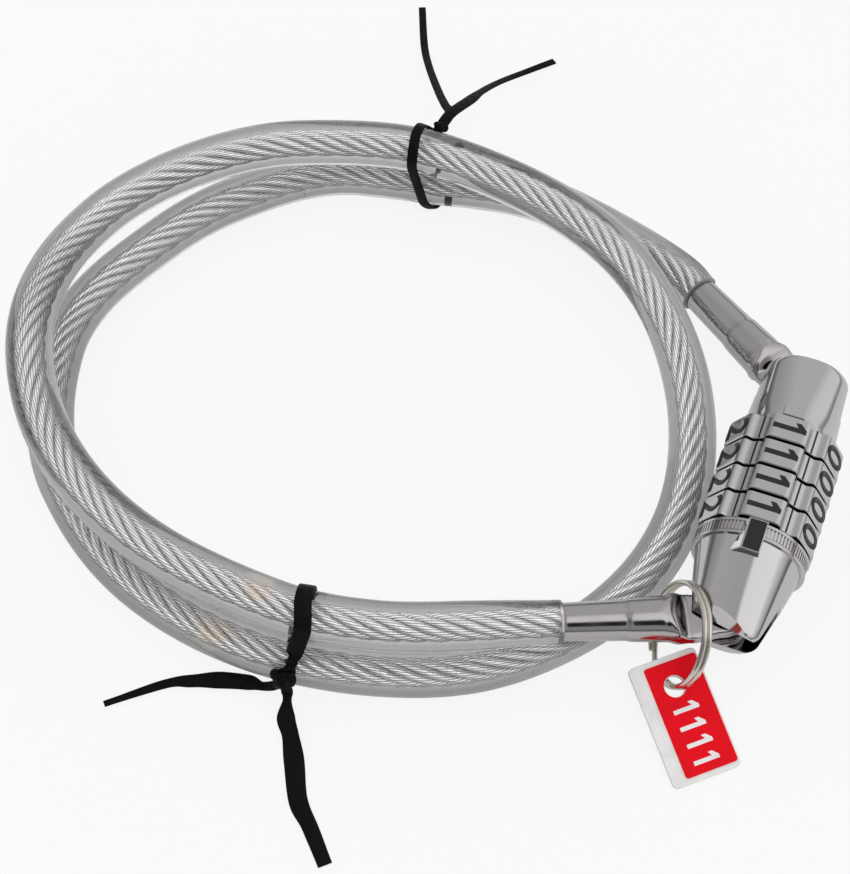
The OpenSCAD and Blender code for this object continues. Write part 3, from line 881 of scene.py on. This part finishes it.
def loft_faces(rings, count, closed):
    """Faces between rings of count vertices; a closed loft runs on from its last ring to its first."""
    made = []
    for k in range(rings if closed else rings - 1):
        start, following = k * count, (k + 1) % rings * count
        made += ring_wall(range(start, start + count), range(following, following + count))
    return made


def squared(t, w, h, square):
    """A point of an oval at turn t; the oval is squarer the more square is above 2."""
    c, s = math.cos(t), math.sin(t)
    return math.copysign(abs(c) ** (2 / square) * w, c), math.copysign(abs(s) ** (2 / square) * h, s)


class Cap:
    """A cap lofted along the lock's axis: round beside the dials, and flattened into a slotted fork."""

    ARC = 24
    EDGE = 8
    SLOT = 12

    def __init__(self, base_y, way, sections, cut=None):
        self.base_y = base_y
        self.way = way
        self.sections = sections
        self.cut = cut
        self.points = []
        self.faces = []

    def add(self, x, d, z):
        self.points.append((x, self.base_y + self.way * d, AXIS_Z + z))
        return len(self.points) - 1

    @staticmethod
    def slot_turn(h, square):
        """The turn round a section at which its rim reaches the slot."""
        return math.asin((SLOT_HALF / h) ** (square / 2))

    def outline(self, d, w, h, square):
        """Vertices of one section: upper arc, left edge, lower arc and right edge of the slot's height."""
        t0 = self.slot_turn(h, square)

        def at(t):
            x, z = squared(t, w, h, square)
            return self.add(x, d, z)

        upper = [at(mix(t0, math.pi - t0, i / self.ARC)) for i in range(self.ARC + 1)]
        left = [at(mix(math.pi - t0, math.pi + t0, i / self.EDGE)) for i in range(1, self.EDGE)]
        lower = [at(mix(math.pi + t0, 2 * math.pi - t0, i / self.ARC)) for i in range(self.ARC + 1)]
        right = [at(mix(-t0, t0, i / self.EDGE)) for i in range(1, self.EDGE)]
        return upper, left, lower, right

    def cheek_point(self, step, d):
        """Where the upper arc's given step is at a distance along the cap, between two sections."""
        for a, b in zip(self.sections, self.sections[1:]):
            if d <= b[0]:
                break
        w, h, square = (mix(u, v, (d - a[0]) / (b[0] - a[0])) for u, v in zip(a[1:], b[1:]))
        t0 = self.slot_turn(h, square)
        return squared(mix(t0, math.pi - t0, step / self.ARC), w, h, square)

    def shorten(self, arc, fork_at, share):
        """Moves a section of the upper cheek back, so that the cheek ends at its cut."""
        for step, i in enumerate(arc):
            end = self.sections[-1][0]
            for _ in range(12):
                end = self.cut(*self.cheek_point(step, end))
            d = mix(fork_at, end, share)
            x, z = self.cheek_point(step, d)
            self.points[i] = (x, self.base_y + self.way * d, AXIS_Z + z)

    def slot_edge(self, first, last):
        a, b = Vector(self.points[first]), Vector(self.points[last])
        start = len(self.points)
        self.points += [tuple(mix(a, b, i / self.SLOT)) for i in range(1, self.SLOT)]
        return list(range(start, len(self.points)))

    def build(self, name, recess_r, recess_depth, fork_at):
        body = [s for s in self.sections if s[0] <= fork_at]
        fork = [s for s in self.sections if s[0] > fork_at]
        rings = [sum(self.outline(*s), []) for s in body[:-1]]
        upper, left, lower, right = self.outline(*body[-1])
        rings.append(upper + left + lower + right)
        for ring, following in zip(rings, rings[1:]):
            self.faces += ring_wall(ring, following)
        mouth = [math.atan2(self.points[i][2] - AXIS_Z, self.points[i][0]) for i in rings[0]]
        lip = [[self.add(recess_r * math.cos(t), d, recess_r * math.sin(t)) for t in mouth]
               for d in (0, recess_depth)]
        self.faces += ring_wall(lip[0], rings[0])
        self.faces += ring_wall(lip[1], lip[0])
        self.faces.append(tuple(lip[1]))
        upper_slot = self.slot_edge(upper[-1], upper[0])
        lower_slot = self.slot_edge(lower[-1], lower[0])
        self.faces.append(tuple([upper[-1], *upper_slot, upper[0], *reversed(right), lower[-1], *lower_slot,
                                 lower[0], *reversed(left)]))
        loops = [upper + upper_slot, lower + lower_slot]
        for section in fork:
            upper, _, lower, _ = self.outline(*section)
            if self.cut:
                share = (section[0] - fork_at) / (self.sections[-1][0] - fork_at)
                self.shorten(upper, fork_at, share)
            for side, arc in enumerate((upper, lower)):
                loop = arc + self.slot_edge(arc[-1], arc[0])
                self.faces += ring_wall(loops[side], loop)
                loops[side] = loop
        for loop in loops:
            self.faces.append(tuple(loop))
        used = sorted({i for face in self.faces for i in face})
        new = {old: i for i, old in enumerate(used)}
        faces = [tuple(new[i] for i in face) for face in self.faces]
        return plain_piece(name, [self.points[i] for i in used], faces, LOCK_CHROME)


def cap_sections(length, widths, heights, squares):
    """Sections along a cap, from (distance, value) pairs for its half width, half height and squareness."""
    straight = length - CAP_CORNER
    places = [straight * i / CAP_STEPS for i in range(CAP_STEPS + 1)] + [length - FORK_DEPTH]
    places += [straight + CAP_CORNER * math.sin(math.radians(a)) for a in (15, 30, 45, 60, 72, 82)]
    made = []
    for d in sorted(places):
        e = max(0.0, (d - straight) / CAP_CORNER)
        drawn_in = CAP_CORNER * (1 - math.sqrt(1 - e * e))
        made.append((d, along(widths, d, EASE) - drawn_in, along(heights, d, EASE), along(squares, d, EASE)))
    return made


upper_low, upper_high = box_mm("upper_cap")
upper_length = upper_high.y - upper_low.y
upper_cap = Cap(upper_low.y, 1, cap_sections(
    upper_length,
    [(0, 9.9), (2.2, 9.6), (upper_length, 8.8)],
    [(0, 9.9), (2.2, 9.4), (upper_length, 6.6)],
    [(0, 2.0), (4, 2.0), (upper_length, 2.5)])).build(
        "upper_cap_shell", *UPPER_RECESS, upper_length - FORK_DEPTH)
ride_as(soften(upper_cap, CAP_EDGE), "plug", "lock_chrome", "upper_cap")

lower_low, lower_high = box_mm("lower_cap")
lower_length = lower_high.y - lower_low.y
RIM_L = 3.3
RIM_R = 11.7
RIM_SINK = 0.4


def cheek_end(x, z):
    """How far the lower fork's upper cheek reaches: it is cut at a slant, and its end face leans back."""
    aslant = x * math.tan(math.radians(CHEEK_CUT_TURN))
    reach = lower_high.y - PIN_B.y + CHEEK_CUT + aslant - CHEEK_LEAN * (z - CHEEK_MID)
    return min(lower_length - CHEEK_SHORT, reach)


rim = [(0, RIM_R - RIM_SINK), (RIM_L - 0.3, RIM_R - RIM_SINK), (RIM_L, RIM_R - 0.8)]
lower_cap = Cap(lower_high.y, -1, cap_sections(
    lower_length,
    [*rim, (lower_length, 7.1)],
    [*rim, (lower_length - 4.5, 5.8), (lower_length, 4.4)],
    [(0, 2.0), (RIM_L, 2.0), (lower_length - 6, 2.1), (lower_length, 2.3)]),
    cheek_end).build("lower_cap_shell", *LOWER_RECESS, lower_length - FORK_DEPTH)
ride_as(soften(lower_cap, CAP_EDGE), "lock_body", "lock_chrome", "lower_cap")


def block(name, low, high, finish, edge, flank=0.0, fall=0.0):
    """A block with soft edges. Its left flank spreads at the foot, and its top falls towards its front."""
    x0, y0, z0 = low
    x1, y1, z1 = high
    points = [(x0 - flank, y0, z0), (x1, y0, z0), (x0 - flank, y1, z0), (x1, y1, z0),
              (x0, y0, z1 - fall), (x1, y0, z1 - fall), (x0, y1, z1), (x1, y1, z1)]
    faces = [(0, 1, 3, 2), (4, 5, 7, 6), (0, 1, 5, 4), (2, 3, 7, 6), (0, 2, 6, 4), (1, 3, 7, 5)]
    return soften(plain_piece(name, points, faces, finish), edge)


def turned(name, profile, finish):
    """A piece turned round the lock's axis, from (y, radius) pairs of its closed outline."""
    sides = 96
    points = [(r * math.sin(a), y, AXIS_Z + r * math.cos(a)) for a in turns(sides) for y, r in profile]
    return plain_piece(name, points, loft_faces(sides, len(profile), True), finish)


INDEX_HALF = 1.9
INDEX_L = 6.8
INDEX_FLANK = 2.6
INDEX_FALL = 1.0
INDEX_FOOT = AXIS_Z + 8
INDEX_TOP = AXIS_Z + RIM_R + 0.7
PAINT_IN = 0.3
PAINT_SIDE = 0.2
PAINT_HALF = 0.08
HOOP_HALF = 0.35
HOOP_IN_R = 10.5
RIBS_ROUND = 92
RIB_R = RIM_R - 0.45
RIB_H = 0.7
RIB_W = 0.45
PAD_HALF = 2.35
index_front = lower_high.y - INDEX_L
index_block = block("index_block", (-INDEX_HALF, index_front, INDEX_FOOT),
                    (INDEX_HALF, lower_high.y, INDEX_TOP), LOCK_CHROME, 0.2, INDEX_FLANK, INDEX_FALL)
ride_as(index_block, "lock_body", "lock_chrome")


def index_point(y, share):
    """A point on the index block's left edge, or down its left flank by a share of the block's height."""
    top = INDEX_TOP - INDEX_FALL * (lower_high.y - y) / INDEX_L
    return Vector((-INDEX_HALF - INDEX_FLANK * share, y, mix(top, INDEX_FOOT, share)))


def index_paint(name, corners, finish):
    """A thin sheet of paint on the index block, over four corners; it makes a dark coat on the block's top
    and a painted highlight down its left flank.
    """
    across = (corners[1] - corners[0]).cross(corners[2] - corners[0]).normalized()
    points = [p + across * d for d in (-PAINT_HALF, PAINT_HALF) for p in corners]
    faces = [(0, 1, 2, 3), (4, 5, 6, 7), *loft_faces(2, 4, False)]
    return ride_as(plain_piece(name, points, faces, finish, smooth=False), "lock_body", "lock_chrome")


paint_front = index_front + PAINT_IN
paint_back = lower_high.y - PAINT_IN
flank_back = lower_high.y - RIM_L + 0.2
left = Vector((PAINT_SIDE, 0, 0))
right = Vector((2 * INDEX_HALF - PAINT_SIDE, 0, 0))
# A dark coat over most of the block's top.
index_paint("index_dark_top", [index_point(paint_front, 0) + left, index_point(paint_front, 0) + right,
                           index_point(paint_back, 0) + right, index_point(paint_back, 0) + left], DIGIT_BLACK)
# Painted highlight: a white sheet down the chrome block's left flank, where a bright reflection falls.
index_paint("index_flank_highlight", [index_point(paint_front, 0.07), index_point(paint_front, 0.75),
                            index_point(flank_back, 0.6), index_point(flank_back, 0.07)], TAG_DIGIT)
for k, y in enumerate((lower_high.y - 0.45, lower_high.y - RIM_L), 1):
    front, back = y - HOOP_HALF, y + HOOP_HALF
    hoop = turned(f"rim_hoop_{k}", [(front, HOOP_IN_R), (front, RIM_R), (back, RIM_R), (back, HOOP_IN_R)],
                  LOCK_CHROME)
    ride_as(soften(hoop, 0.15, 2), "lock_body", "lock_chrome")
ribs = RIBS.grow("rim_ribs", LOCK_CHROME, Count=RIBS_ROUND, Radius=RIB_R * MM, Height=RIB_H * MM,
                 Width=RIB_W * MM, Length=(RIM_L - 1.2) * MM)
ribs.data.transform(Matrix.Translation(Vector((0, lower_high.y - RIM_L / 2 - 0.2, AXIS_Z)) * MM)
                    @ Matrix.Rotation(math.radians(-90), 4, "X"))
ride_as(ribs, "lock_body", "lock_chrome")
upper_pad = block("upper_index_pad", (-PAD_HALF, upper_low.y + 0.2, AXIS_Z + 6),
                  (PAD_HALF, upper_low.y + 2.5, AXIS_Z + 10.9), LOCK_CHROME, 0.3)
ride_as(upper_pad, "plug", "lock_chrome")

DIGITS = 6
LAND_R = 11.8
LAND_W = 8
LAND_FLAT = 0.78
LAND_DROP = 0.3
FLUTE_R = 10.9
FLUTE_W = 2.4
DIAL_BORE = 7.05
DIGIT_H = 6.9
DIGIT_W = 4.1
DIGIT_SINK = 0.15
DIGIT_PROUD = 0.05
DIAL_EASE = 0.12
DIAL_EDGE = 0.36
FLUTE_SHADE_WIDTH = 0.4
FLUTE_SHADE_HALF = 2.75


def dial_corner(turn, r, across):
    """A point of a dial's outline: out along one turn from the top, and then across."""
    a = math.radians(turn)
    return (r * math.sin(a) + across * math.cos(a), r * math.cos(a) - across * math.sin(a))


def dial(name, y0, y1):
    outline = []
    for i in range(DIGITS):
        turn = i * 360 / DIGITS
        for across, drop in ((-1, LAND_DROP), (-LAND_FLAT, 0), (0, 0), (LAND_FLAT, 0), (1, LAND_DROP)):
            outline.append(dial_corner(turn, LAND_R - drop, across * LAND_W / 2))
        turn += 180 / DIGITS
        outline += [dial_corner(turn, FLUTE_R, -FLUTE_W / 2), dial_corner(turn, FLUTE_R, FLUTE_W / 2)]
    bore = []
    for x, z in outline:
        a = math.atan2(x, z)
        bore.append((DIAL_BORE * math.sin(a), DIAL_BORE * math.cos(a)))
    rings = [(outline, y0), (outline, y1), (bore, y1), (bore, y0)]
    points = [(x, y, AXIS_Z + z) for ring, y in rings for x, z in ring]
    faces = loft_faces(len(rings), len(outline), True)
    return soften(plain_piece(name, points, faces, DIAL_CHROME), DIAL_EDGE, 3, 12)


def curve_mesh(curve):
    """The mesh of a curve or a text, which it removes."""
    holder = bpy.data.objects.new(curve.name, curve)
    bpy.context.scene.collection.objects.link(holder)
    bpy.context.view_layer.update()
    mesh = bpy.data.meshes.new_from_object(holder.evaluated_get(bpy.context.evaluated_depsgraph_get()))
    bpy.data.objects.remove(holder)
    bpy.data.curves.remove(curve)
    return mesh


def digit_mesh(text):
    """A flat digit of unit height, centred, in the XY plane."""
    curve = bpy.data.curves.new("digit", "FONT")
    curve.body = text
    curve.offset = 0.02
    curve.resolution_u = 6
    mesh = curve_mesh(curve)
    xs = [v.co.x for v in mesh.vertices]
    ys = [v.co.y for v in mesh.vertices]
    middle = Vector(((min(xs) + max(xs)) / 2, (min(ys) + max(ys)) / 2, 0))
    mesh.transform(Matrix.Scale(1 / (max(ys) - min(ys)), 4) @ Matrix.Translation(-middle))
    return mesh


def digit_piece(name, placed, finish, sink, proud):
    """One piece of thick digits; each is (mesh, width, height, matrix in millimetres).

    A digit is narrowed to its width. A line, whose height is 1, keeps its own.
    """
    whole = bmesh.new()
    for flat, width, height, matrix in placed:
        part = bmesh.new()
        part.from_mesh(flat)
        bmesh.ops.remove_doubles(part, verts=part.verts, dist=1e-5)
        xs = [v.co.x for v in part.verts]
        wide = min(1.0, width / height / (max(xs) - min(xs))) if height > 1 else 1.0
        for v in part.verts:
            v.co = Vector((v.co.x * wide * height, v.co.y * height, -sink))
        raised = bmesh.ops.extrude_face_region(part, geom=part.faces[:])["geom"]
        for v in raised:
            if isinstance(v, bmesh.types.BMVert):
                v.co.z = proud
        bmesh.ops.transform(part, matrix=Matrix.Scale(MM, 4) @ matrix, verts=part.verts)
        bmesh.ops.recalc_face_normals(part, faces=part.faces)
        piece_mesh = bpy.data.meshes.new("part")
        part.to_mesh(piece_mesh)
        part.free()
        whole.from_mesh(piece_mesh)
        bpy.data.meshes.remove(piece_mesh)
    return mesh_piece(name, whole, finish.material)


def flat_shape(outline):
    mesh = bpy.data.meshes.new("shape")
    mesh.from_pydata([(x, y, 0) for x, y in outline], [], [tuple(range(len(outline)))])
    return mesh


# A plain digit one of unit height, a stem with a flag, and a line of painted shade along the bottom of a
# flute
DIGIT_ONE = flat_shape([(0.08, -0.5), (-0.08, -0.5), (-0.08, 0.24), (-0.24, 0.13), (-0.24, 0.3), (-0.05, 0.5),
                        (0.08, 0.5)])
FLUTE_SHADE = flat_shape([(-FLUTE_SHADE_HALF, -FLUTE_SHADE_WIDTH / 2), (FLUTE_SHADE_HALF, -FLUTE_SHADE_WIDTH / 2),
                         (FLUTE_SHADE_HALF, FLUTE_SHADE_WIDTH / 2), (-FLUTE_SHADE_HALF, FLUTE_SHADE_WIDTH / 2)])
digit_shapes = [DIGIT_ONE if n == 1 else digit_mesh(str(n)) for n in range(DIGITS)]


def dial_place(y, turn, r):
    """Stands a digit or a line on a dial, with a digit's top towards the next lower digit."""
    a = math.radians(turn)
    out = Vector((math.sin(a), 0, math.cos(a)))
    top = Vector((math.cos(a), 0, -math.sin(a)))
    at = Vector((0, y, AXIS_Z)) + out * r
    return Matrix.Translation(at) @ Matrix((Vector((0, -1, 0)), top, out)).transposed().to_4x4()


for k in range(1, 5):
    low, high = box_mm(f"dial_{k}")
    ring = dial(f"dial_{k}_ring", low.y + DIAL_EASE, high.y - DIAL_EASE)
    ride_as(ring, f"dial_{k}", "dial_chrome", f"dial_{k}")
    middle = (low.y + high.y) / 2
    placed = [(digit_shapes[n], DIGIT_W, DIGIT_H, dial_place(middle, (1 - n) * 360 / DIGITS, LAND_R))
              for n in range(DIGITS)]
    # Painted shade: a black line along the bottom of each flute, in the digits' paint.
    placed += [(FLUTE_SHADE, 1, 1, dial_place(middle, (n + 0.5) * 360 / DIGITS, FLUTE_R))
               for n in range(DIGITS)]
    digits = digit_piece(f"dial_{k}_digits", placed, DIGIT_BLACK, DIGIT_SINK, DIGIT_PROUD)
    ride_as(digits, f"dial_{k}", "dial_chrome")


# Ferrules: a crimped barrel that flattens into a tongue with a round end

TONGUE_HALF = 1.5
EYE_R = 3.9
BARREL_L = 34
BARREL_STEP = 0.4
TILT_IN = (3, 13)
FERRULE_SIDES = 40


def ferrule(name, pin, turn, tilt):
    ahead = unit_way(turn, 0)
    side = UP.cross(ahead)
    barrel = [(14, 4.6), (20.3, 4.35), (21, 4.1), (33.4, 3.8), (BARREL_L, 3.5)]
    widths = [(-EYE_R, EYE_R), (3, 4.1), (7.5, 5.0), (10.5, 5.0), (12.5, 4.7), *barrel]
    heights = [(-EYE_R, TONGUE_HALF), (9.2, TONGUE_HALF), (10, 2.3), (11.1, 3.5), (12.4, 4.25), *barrel]
    squares = [(-EYE_R, 6), (9.6, 5), (12.5, 2), (BARREL_L, 2)]
    places = [-EYE_R * math.cos(math.radians(a)) for a in range(8, 91, 8)]
    places += [i * BARREL_STEP for i in range(1, 84)] + [33.85, BARREL_L]
    points = []
    for u in places:
        w = along(widths, u, 0.5) if u > 0 else math.sqrt(max(EYE_R ** 2 - u * u, 0.1))
        h, square = along(heights, u, 0.3), along(squares, u, 0.5)
        at = pin + ahead * u + UP * (u * math.tan(math.radians(tilt)) * ramp(u, *TILT_IN))
        for t in turns(FERRULE_SIDES):
            x, z = squared(t, w, h, square)
            points.append(at + side * x + UP * z)
    last = len(points) - FERRULE_SIDES
    faces = loft_faces(len(places), FERRULE_SIDES, False)
    faces += [tuple(range(FERRULE_SIDES)), tuple(range(last, len(points)))]
    return plain_piece(name, points, faces, FERRULE_CHROME)


for side, pin, way in (("a", PIN_A, FERRULE_A), ("b", PIN_B, FERRULE_B)):
    end = soften(ferrule(f"ferrule_{side}_barrel", pin, *way), 0.3, 2, 40)
    ride_as(end, f"ferrule_{side}", "ferrule_chrome", f"ferrule_{side}")


# Split ring: one wire wound twice round, with a jog from one turn to the other

RING_AT = Vector((-8.2, -33.9, 10.8))
RING_R = 10.3
RING_WIRE = 1.1
RING_TURN = 26
RING_LEAN = 114
RING_JOG = (330, 390)


def placed_at(at, turn, lean):
    """Moves a flat thing to a point, leaned over about Y and then turned about Z, in degrees."""
    return (Matrix.Translation(at) @ Matrix.Rotation(math.radians(turn), 4, "Z")
            @ Matrix.Rotation(math.radians(lean), 4, "Y"))


ring_place = placed_at(RING_AT, RING_TURN, RING_LEAN)


def ring_point(a):
    t = math.radians(a)
    rise = RING_WIRE * (ramp(a, *RING_JOG) - 0.5)
    return ring_place @ Vector((RING_R * math.cos(t), RING_R * math.sin(t), rise))


split_ring = TUBE.grow("split_ring_wire", RING_NICKEL, [ring_point(a) for a in range(8, 713, 4)],
                       Radius=RING_WIRE / 2 * MM, Sides=14)
ride_as(split_ring, "split_ring", "ring_nickel", "split_ring")


# Tag: a pale plate with a red label and white digits

TAG_AT = Vector((-6.2, -42.8, 6))
TAG_TURN = -48.6
TAG_LEAN = 16
TAG_LOW = Vector((-6.2, -7.7))
TAG_HIGH = Vector((18.8, 6.7))
TAG_T = 1.2
TAG_CORNER = 1.2
TAG_HOLE_R = 2.1
LABEL_LOW = Vector((-5.05, -4.8))
LABEL_HIGH = Vector((17.65, 6.3))
LABEL_T = 0.25
LABEL_CORNER = 0.6
LABEL_HOLE_R = 2.25
NUMBER_AT = (4.9, 0.4)
NUMBER_STEP = 3.5
NUMBER_W = 4
NUMBER_H = 5.4
label_top = TAG_T / 2 + LABEL_T
tag_place = placed_at(TAG_AT, TAG_TURN, TAG_LEAN)


def sheet(name, low, high, corner, hole_r, z0, z1, edge, finish):
    """A flat sheet with round corners and a hole at its origin."""
    curve = bpy.data.curves.new(name, "CURVE")
    curve.dimensions = "2D"
    curve.fill_mode = "BOTH"
    x0, y0 = low.x + corner, low.y + corner
    x1, y1 = high.x - corner, high.y - corner
    rim = []
    for quarter, (x, y) in enumerate(((x1, y1), (x0, y1), (x0, y0), (x1, y0))):
        for step in range(7):
            a = math.radians(90 * quarter + 15 * step)
            rim.append((x + corner * math.cos(a), y + corner * math.sin(a)))
    hole = [(hole_r * math.cos(a), hole_r * math.sin(a)) for a in turns(32)]
    for outline in (rim, hole):
        spline = curve.splines.new("POLY")
        spline.points.add(len(outline) - 1)
        for point, (x, y) in zip(spline.points, outline):
            point.co = (x * MM, y * MM, 0, 1)
        spline.use_cyclic_u = True
    curve.extrude = ((z1 - z0) / 2 - edge) * MM
    curve.bevel_depth = edge * MM
    curve.bevel_resolution = 2
    curve.offset = -edge * MM
    mesh = curve_mesh(curve)
    shape = bmesh.new()
    shape.from_mesh(mesh)
    bpy.data.meshes.remove(mesh)
    bmesh.ops.remove_doubles(shape, verts=shape.verts, dist=1e-6)
    bmesh.ops.translate(shape, verts=shape.verts, vec=(0, 0, (z0 + z1) / 2 * MM))
    place = Matrix.Scale(MM, 4) @ tag_place @ Matrix.Scale(1 / MM, 4)
    bmesh.ops.transform(shape, verts=shape.verts, matrix=place)
    bmesh.ops.recalc_face_normals(shape, faces=shape.faces)
    return mesh_piece(name, shape, finish.material)


tag_plate = sheet("tag_card", TAG_LOW, TAG_HIGH, TAG_CORNER, TAG_HOLE_R, -TAG_T / 2, TAG_T / 2, 0.15,
                  TAG_WHITE)
tag_label = sheet("tag_red_label", LABEL_LOW, LABEL_HIGH, LABEL_CORNER, LABEL_HOLE_R, TAG_T / 2, label_top,
                  0.04, TAG_RED)
ride_as(tag_plate, "tag", "tag_white", "tag_plate")
ride_as(tag_label, "tag", "tag_red", "tag_label")
number = []
for i in range(4):
    at = Matrix.Translation((NUMBER_AT[0] + NUMBER_STEP * i, NUMBER_AT[1], label_top))
    number.append((DIGIT_ONE, NUMBER_W, NUMBER_H, tag_place @ at))
tag_digits = digit_piece("tag_digits", number, TAG_DIGIT, 0.02, 0.03)
ride_as(tag_digits, "tag", "tag_white")

# The coil and its two free ends, passed to cord()

cord(cable_lines["end_b"], JACKET_D)
cord(cable_lines["coil"], JACKET_D)
cord(cable_lines["end_a"], JACKET_D)

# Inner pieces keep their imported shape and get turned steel

for thing in frame["nodes"].values():
    if thing.hide_render or thing.hide_get():
        continue
    thing.data.materials.clear()
    thing.data.materials.append(INNER_STEEL.material)


# Stage: a pale floor, soft lamps, and a grey studio dome that only polished metal mirrors

FLOOR_HALF = 3000
FLOOR_Z = -0.2
FLOOR_SEEN = 0.85
FLOOR_MIRRORED = 0.3
WORLD_LEVEL = 0.7
DOME_R = 1.5
DOME_LEVEL = 1.25
FRONT_WALL = [(0.0, 0.3), (0.1, 0.46), (0.3, 0.45), (0.56, 0.42), (0.61, 0.9), (0.92, 0.95), (1.0, 0.4)]
BACK_WALL = [(0.0, 0.32), (0.19, 0.38), (0.41, 0.53), (0.6, 0.53), (0.72, 0.72), (0.9, 0.74), (1.0, 0.4)]
LOW_WALL = [(0.0, 0.3), (0.12, 0.5), (0.22, 1.0)]
TURN_WALL = [(0.15, 0.0), (0.4, 1.0)]
NEAR_WALL = [(0.22, 0.35), (0.36, 1.0)]
OPENING = [(0.965, 1.0), (0.98, 0.04)]
OPENING_AT = (-42, 42)


def flat_finish(name):
    material = bpy.data.materials.new(name)
    material.use_nodes = True
    return material, NodeTree(material.node_tree)


def floor_finish():
    material, tree = flat_finish("pale_floor")
    straight, glossy, through = tree.rays()
    shown = FLOOR_SEEN * straight + FLOOR_MIRRORED * (glossy + through)
    white = tree.node("ShaderNodeEmission", {"Color": (1, 1, 1, 1), "Strength": 1.0})
    matt = tree.node("ShaderNodeBsdfDiffuse", {"Color": (0.8, 0.8, 0.8, 1)})
    floor = tree.node("ShaderNodeMixShader", {0: shown, 1: matt, 2: white})
    tree.close("ShaderNodeOutputMaterial", floor)
    return material


def dome_finish():
    material, tree = flat_finish("studio_walls")
    place = tree.vector("NORMALIZE", tree.place())
    axes = tree.node("ShaderNodeSeparateXYZ", {0: place}).socket.node.outputs
    across, depth, height = (Term(tree, axes[axis]) for axis in "XYZ")
    opening = tree.vector("DOT_PRODUCT", place, unit_way(*OPENING_AT), output="Value")
    front = tree.steps(across / 2 + 0.5, FRONT_WALL)
    back = tree.steps(across / 2 + 0.5, BACK_WALL)
    walls = front + tree.steps(depth, TURN_WALL) * (back - front)
    near = tree.steps(depth / 2 + 0.5, NEAR_WALL)
    shade = tree.steps(height, LOW_WALL) * near * tree.steps(opening, OPENING)
    glow = tree.node("ShaderNodeEmission", {"Color": DOME_LEVEL * walls * shade, "Strength": 1.0})
    tree.close("ShaderNodeOutputMaterial", glow)
    return material


floor_mesh = bpy.data.meshes.new("floor")
corners = [Vector((x * FLOOR_HALF, y * FLOOR_HALF, FLOOR_Z)) for x, y in ((-1, -1), (1, -1), (1, 1), (-1, 1))]
floor_mesh.from_pydata([p * MM for p in corners], [], [(0, 1, 2, 3)])
floor_mesh.materials.append(floor_finish())
link_piece("floor", floor_mesh)

dome_shape = bmesh.new()
bmesh.ops.create_uvsphere(dome_shape, u_segments=48, v_segments=24, radius=DOME_R)
bmesh.ops.delete(dome_shape, geom=[v for v in dome_shape.verts if v.co.z < -0.01], context="VERTS")
dome = mesh_piece("dome", dome_shape, dome_finish())
for ray in ("camera", "diffuse", "transmission", "volume_scatter", "shadow"):
    setattr(dome, f"visible_{ray}", False)


def lamp(name, at, aim, size, power):
    light = bpy.data.lights.new(name, "AREA")
    light.shape = "RECTANGLE"
    light.size, light.size_y = (v * MM for v in size)
    light.energy = power
    holder = bpy.data.objects.new(name, light)
    holder.location = Vector(at) * MM
    holder.rotation_mode = "QUATERNION"
    holder.rotation_quaternion = (Vector(aim) - Vector(at)).to_track_quat("-Z", "Y")
    holder.visible_glossy = False
    bpy.context.scene.collection.objects.link(holder)


lamp("key", (150, -250, 900), (-60, 0, 0), (500, 350), 1.6)
lamp("fill", (-700, 300, 600), (-60, 0, 0), (500, 500), 0.8)

world = bpy.data.worlds.new("studio")
bpy.context.scene.world = world
world.use_nodes = True
sky = NodeTree(world.node_tree)
straight, glossy, through = sky.rays()
shown = straight + glossy + through
strength = shown.math("MAXIMUM", shown, WORLD_LEVEL)
back = sky.node("ShaderNodeBackground", {"Color": (1, 1, 1, 1), "Strength": strength})
sky.close("ShaderNodeOutputWorld", back)
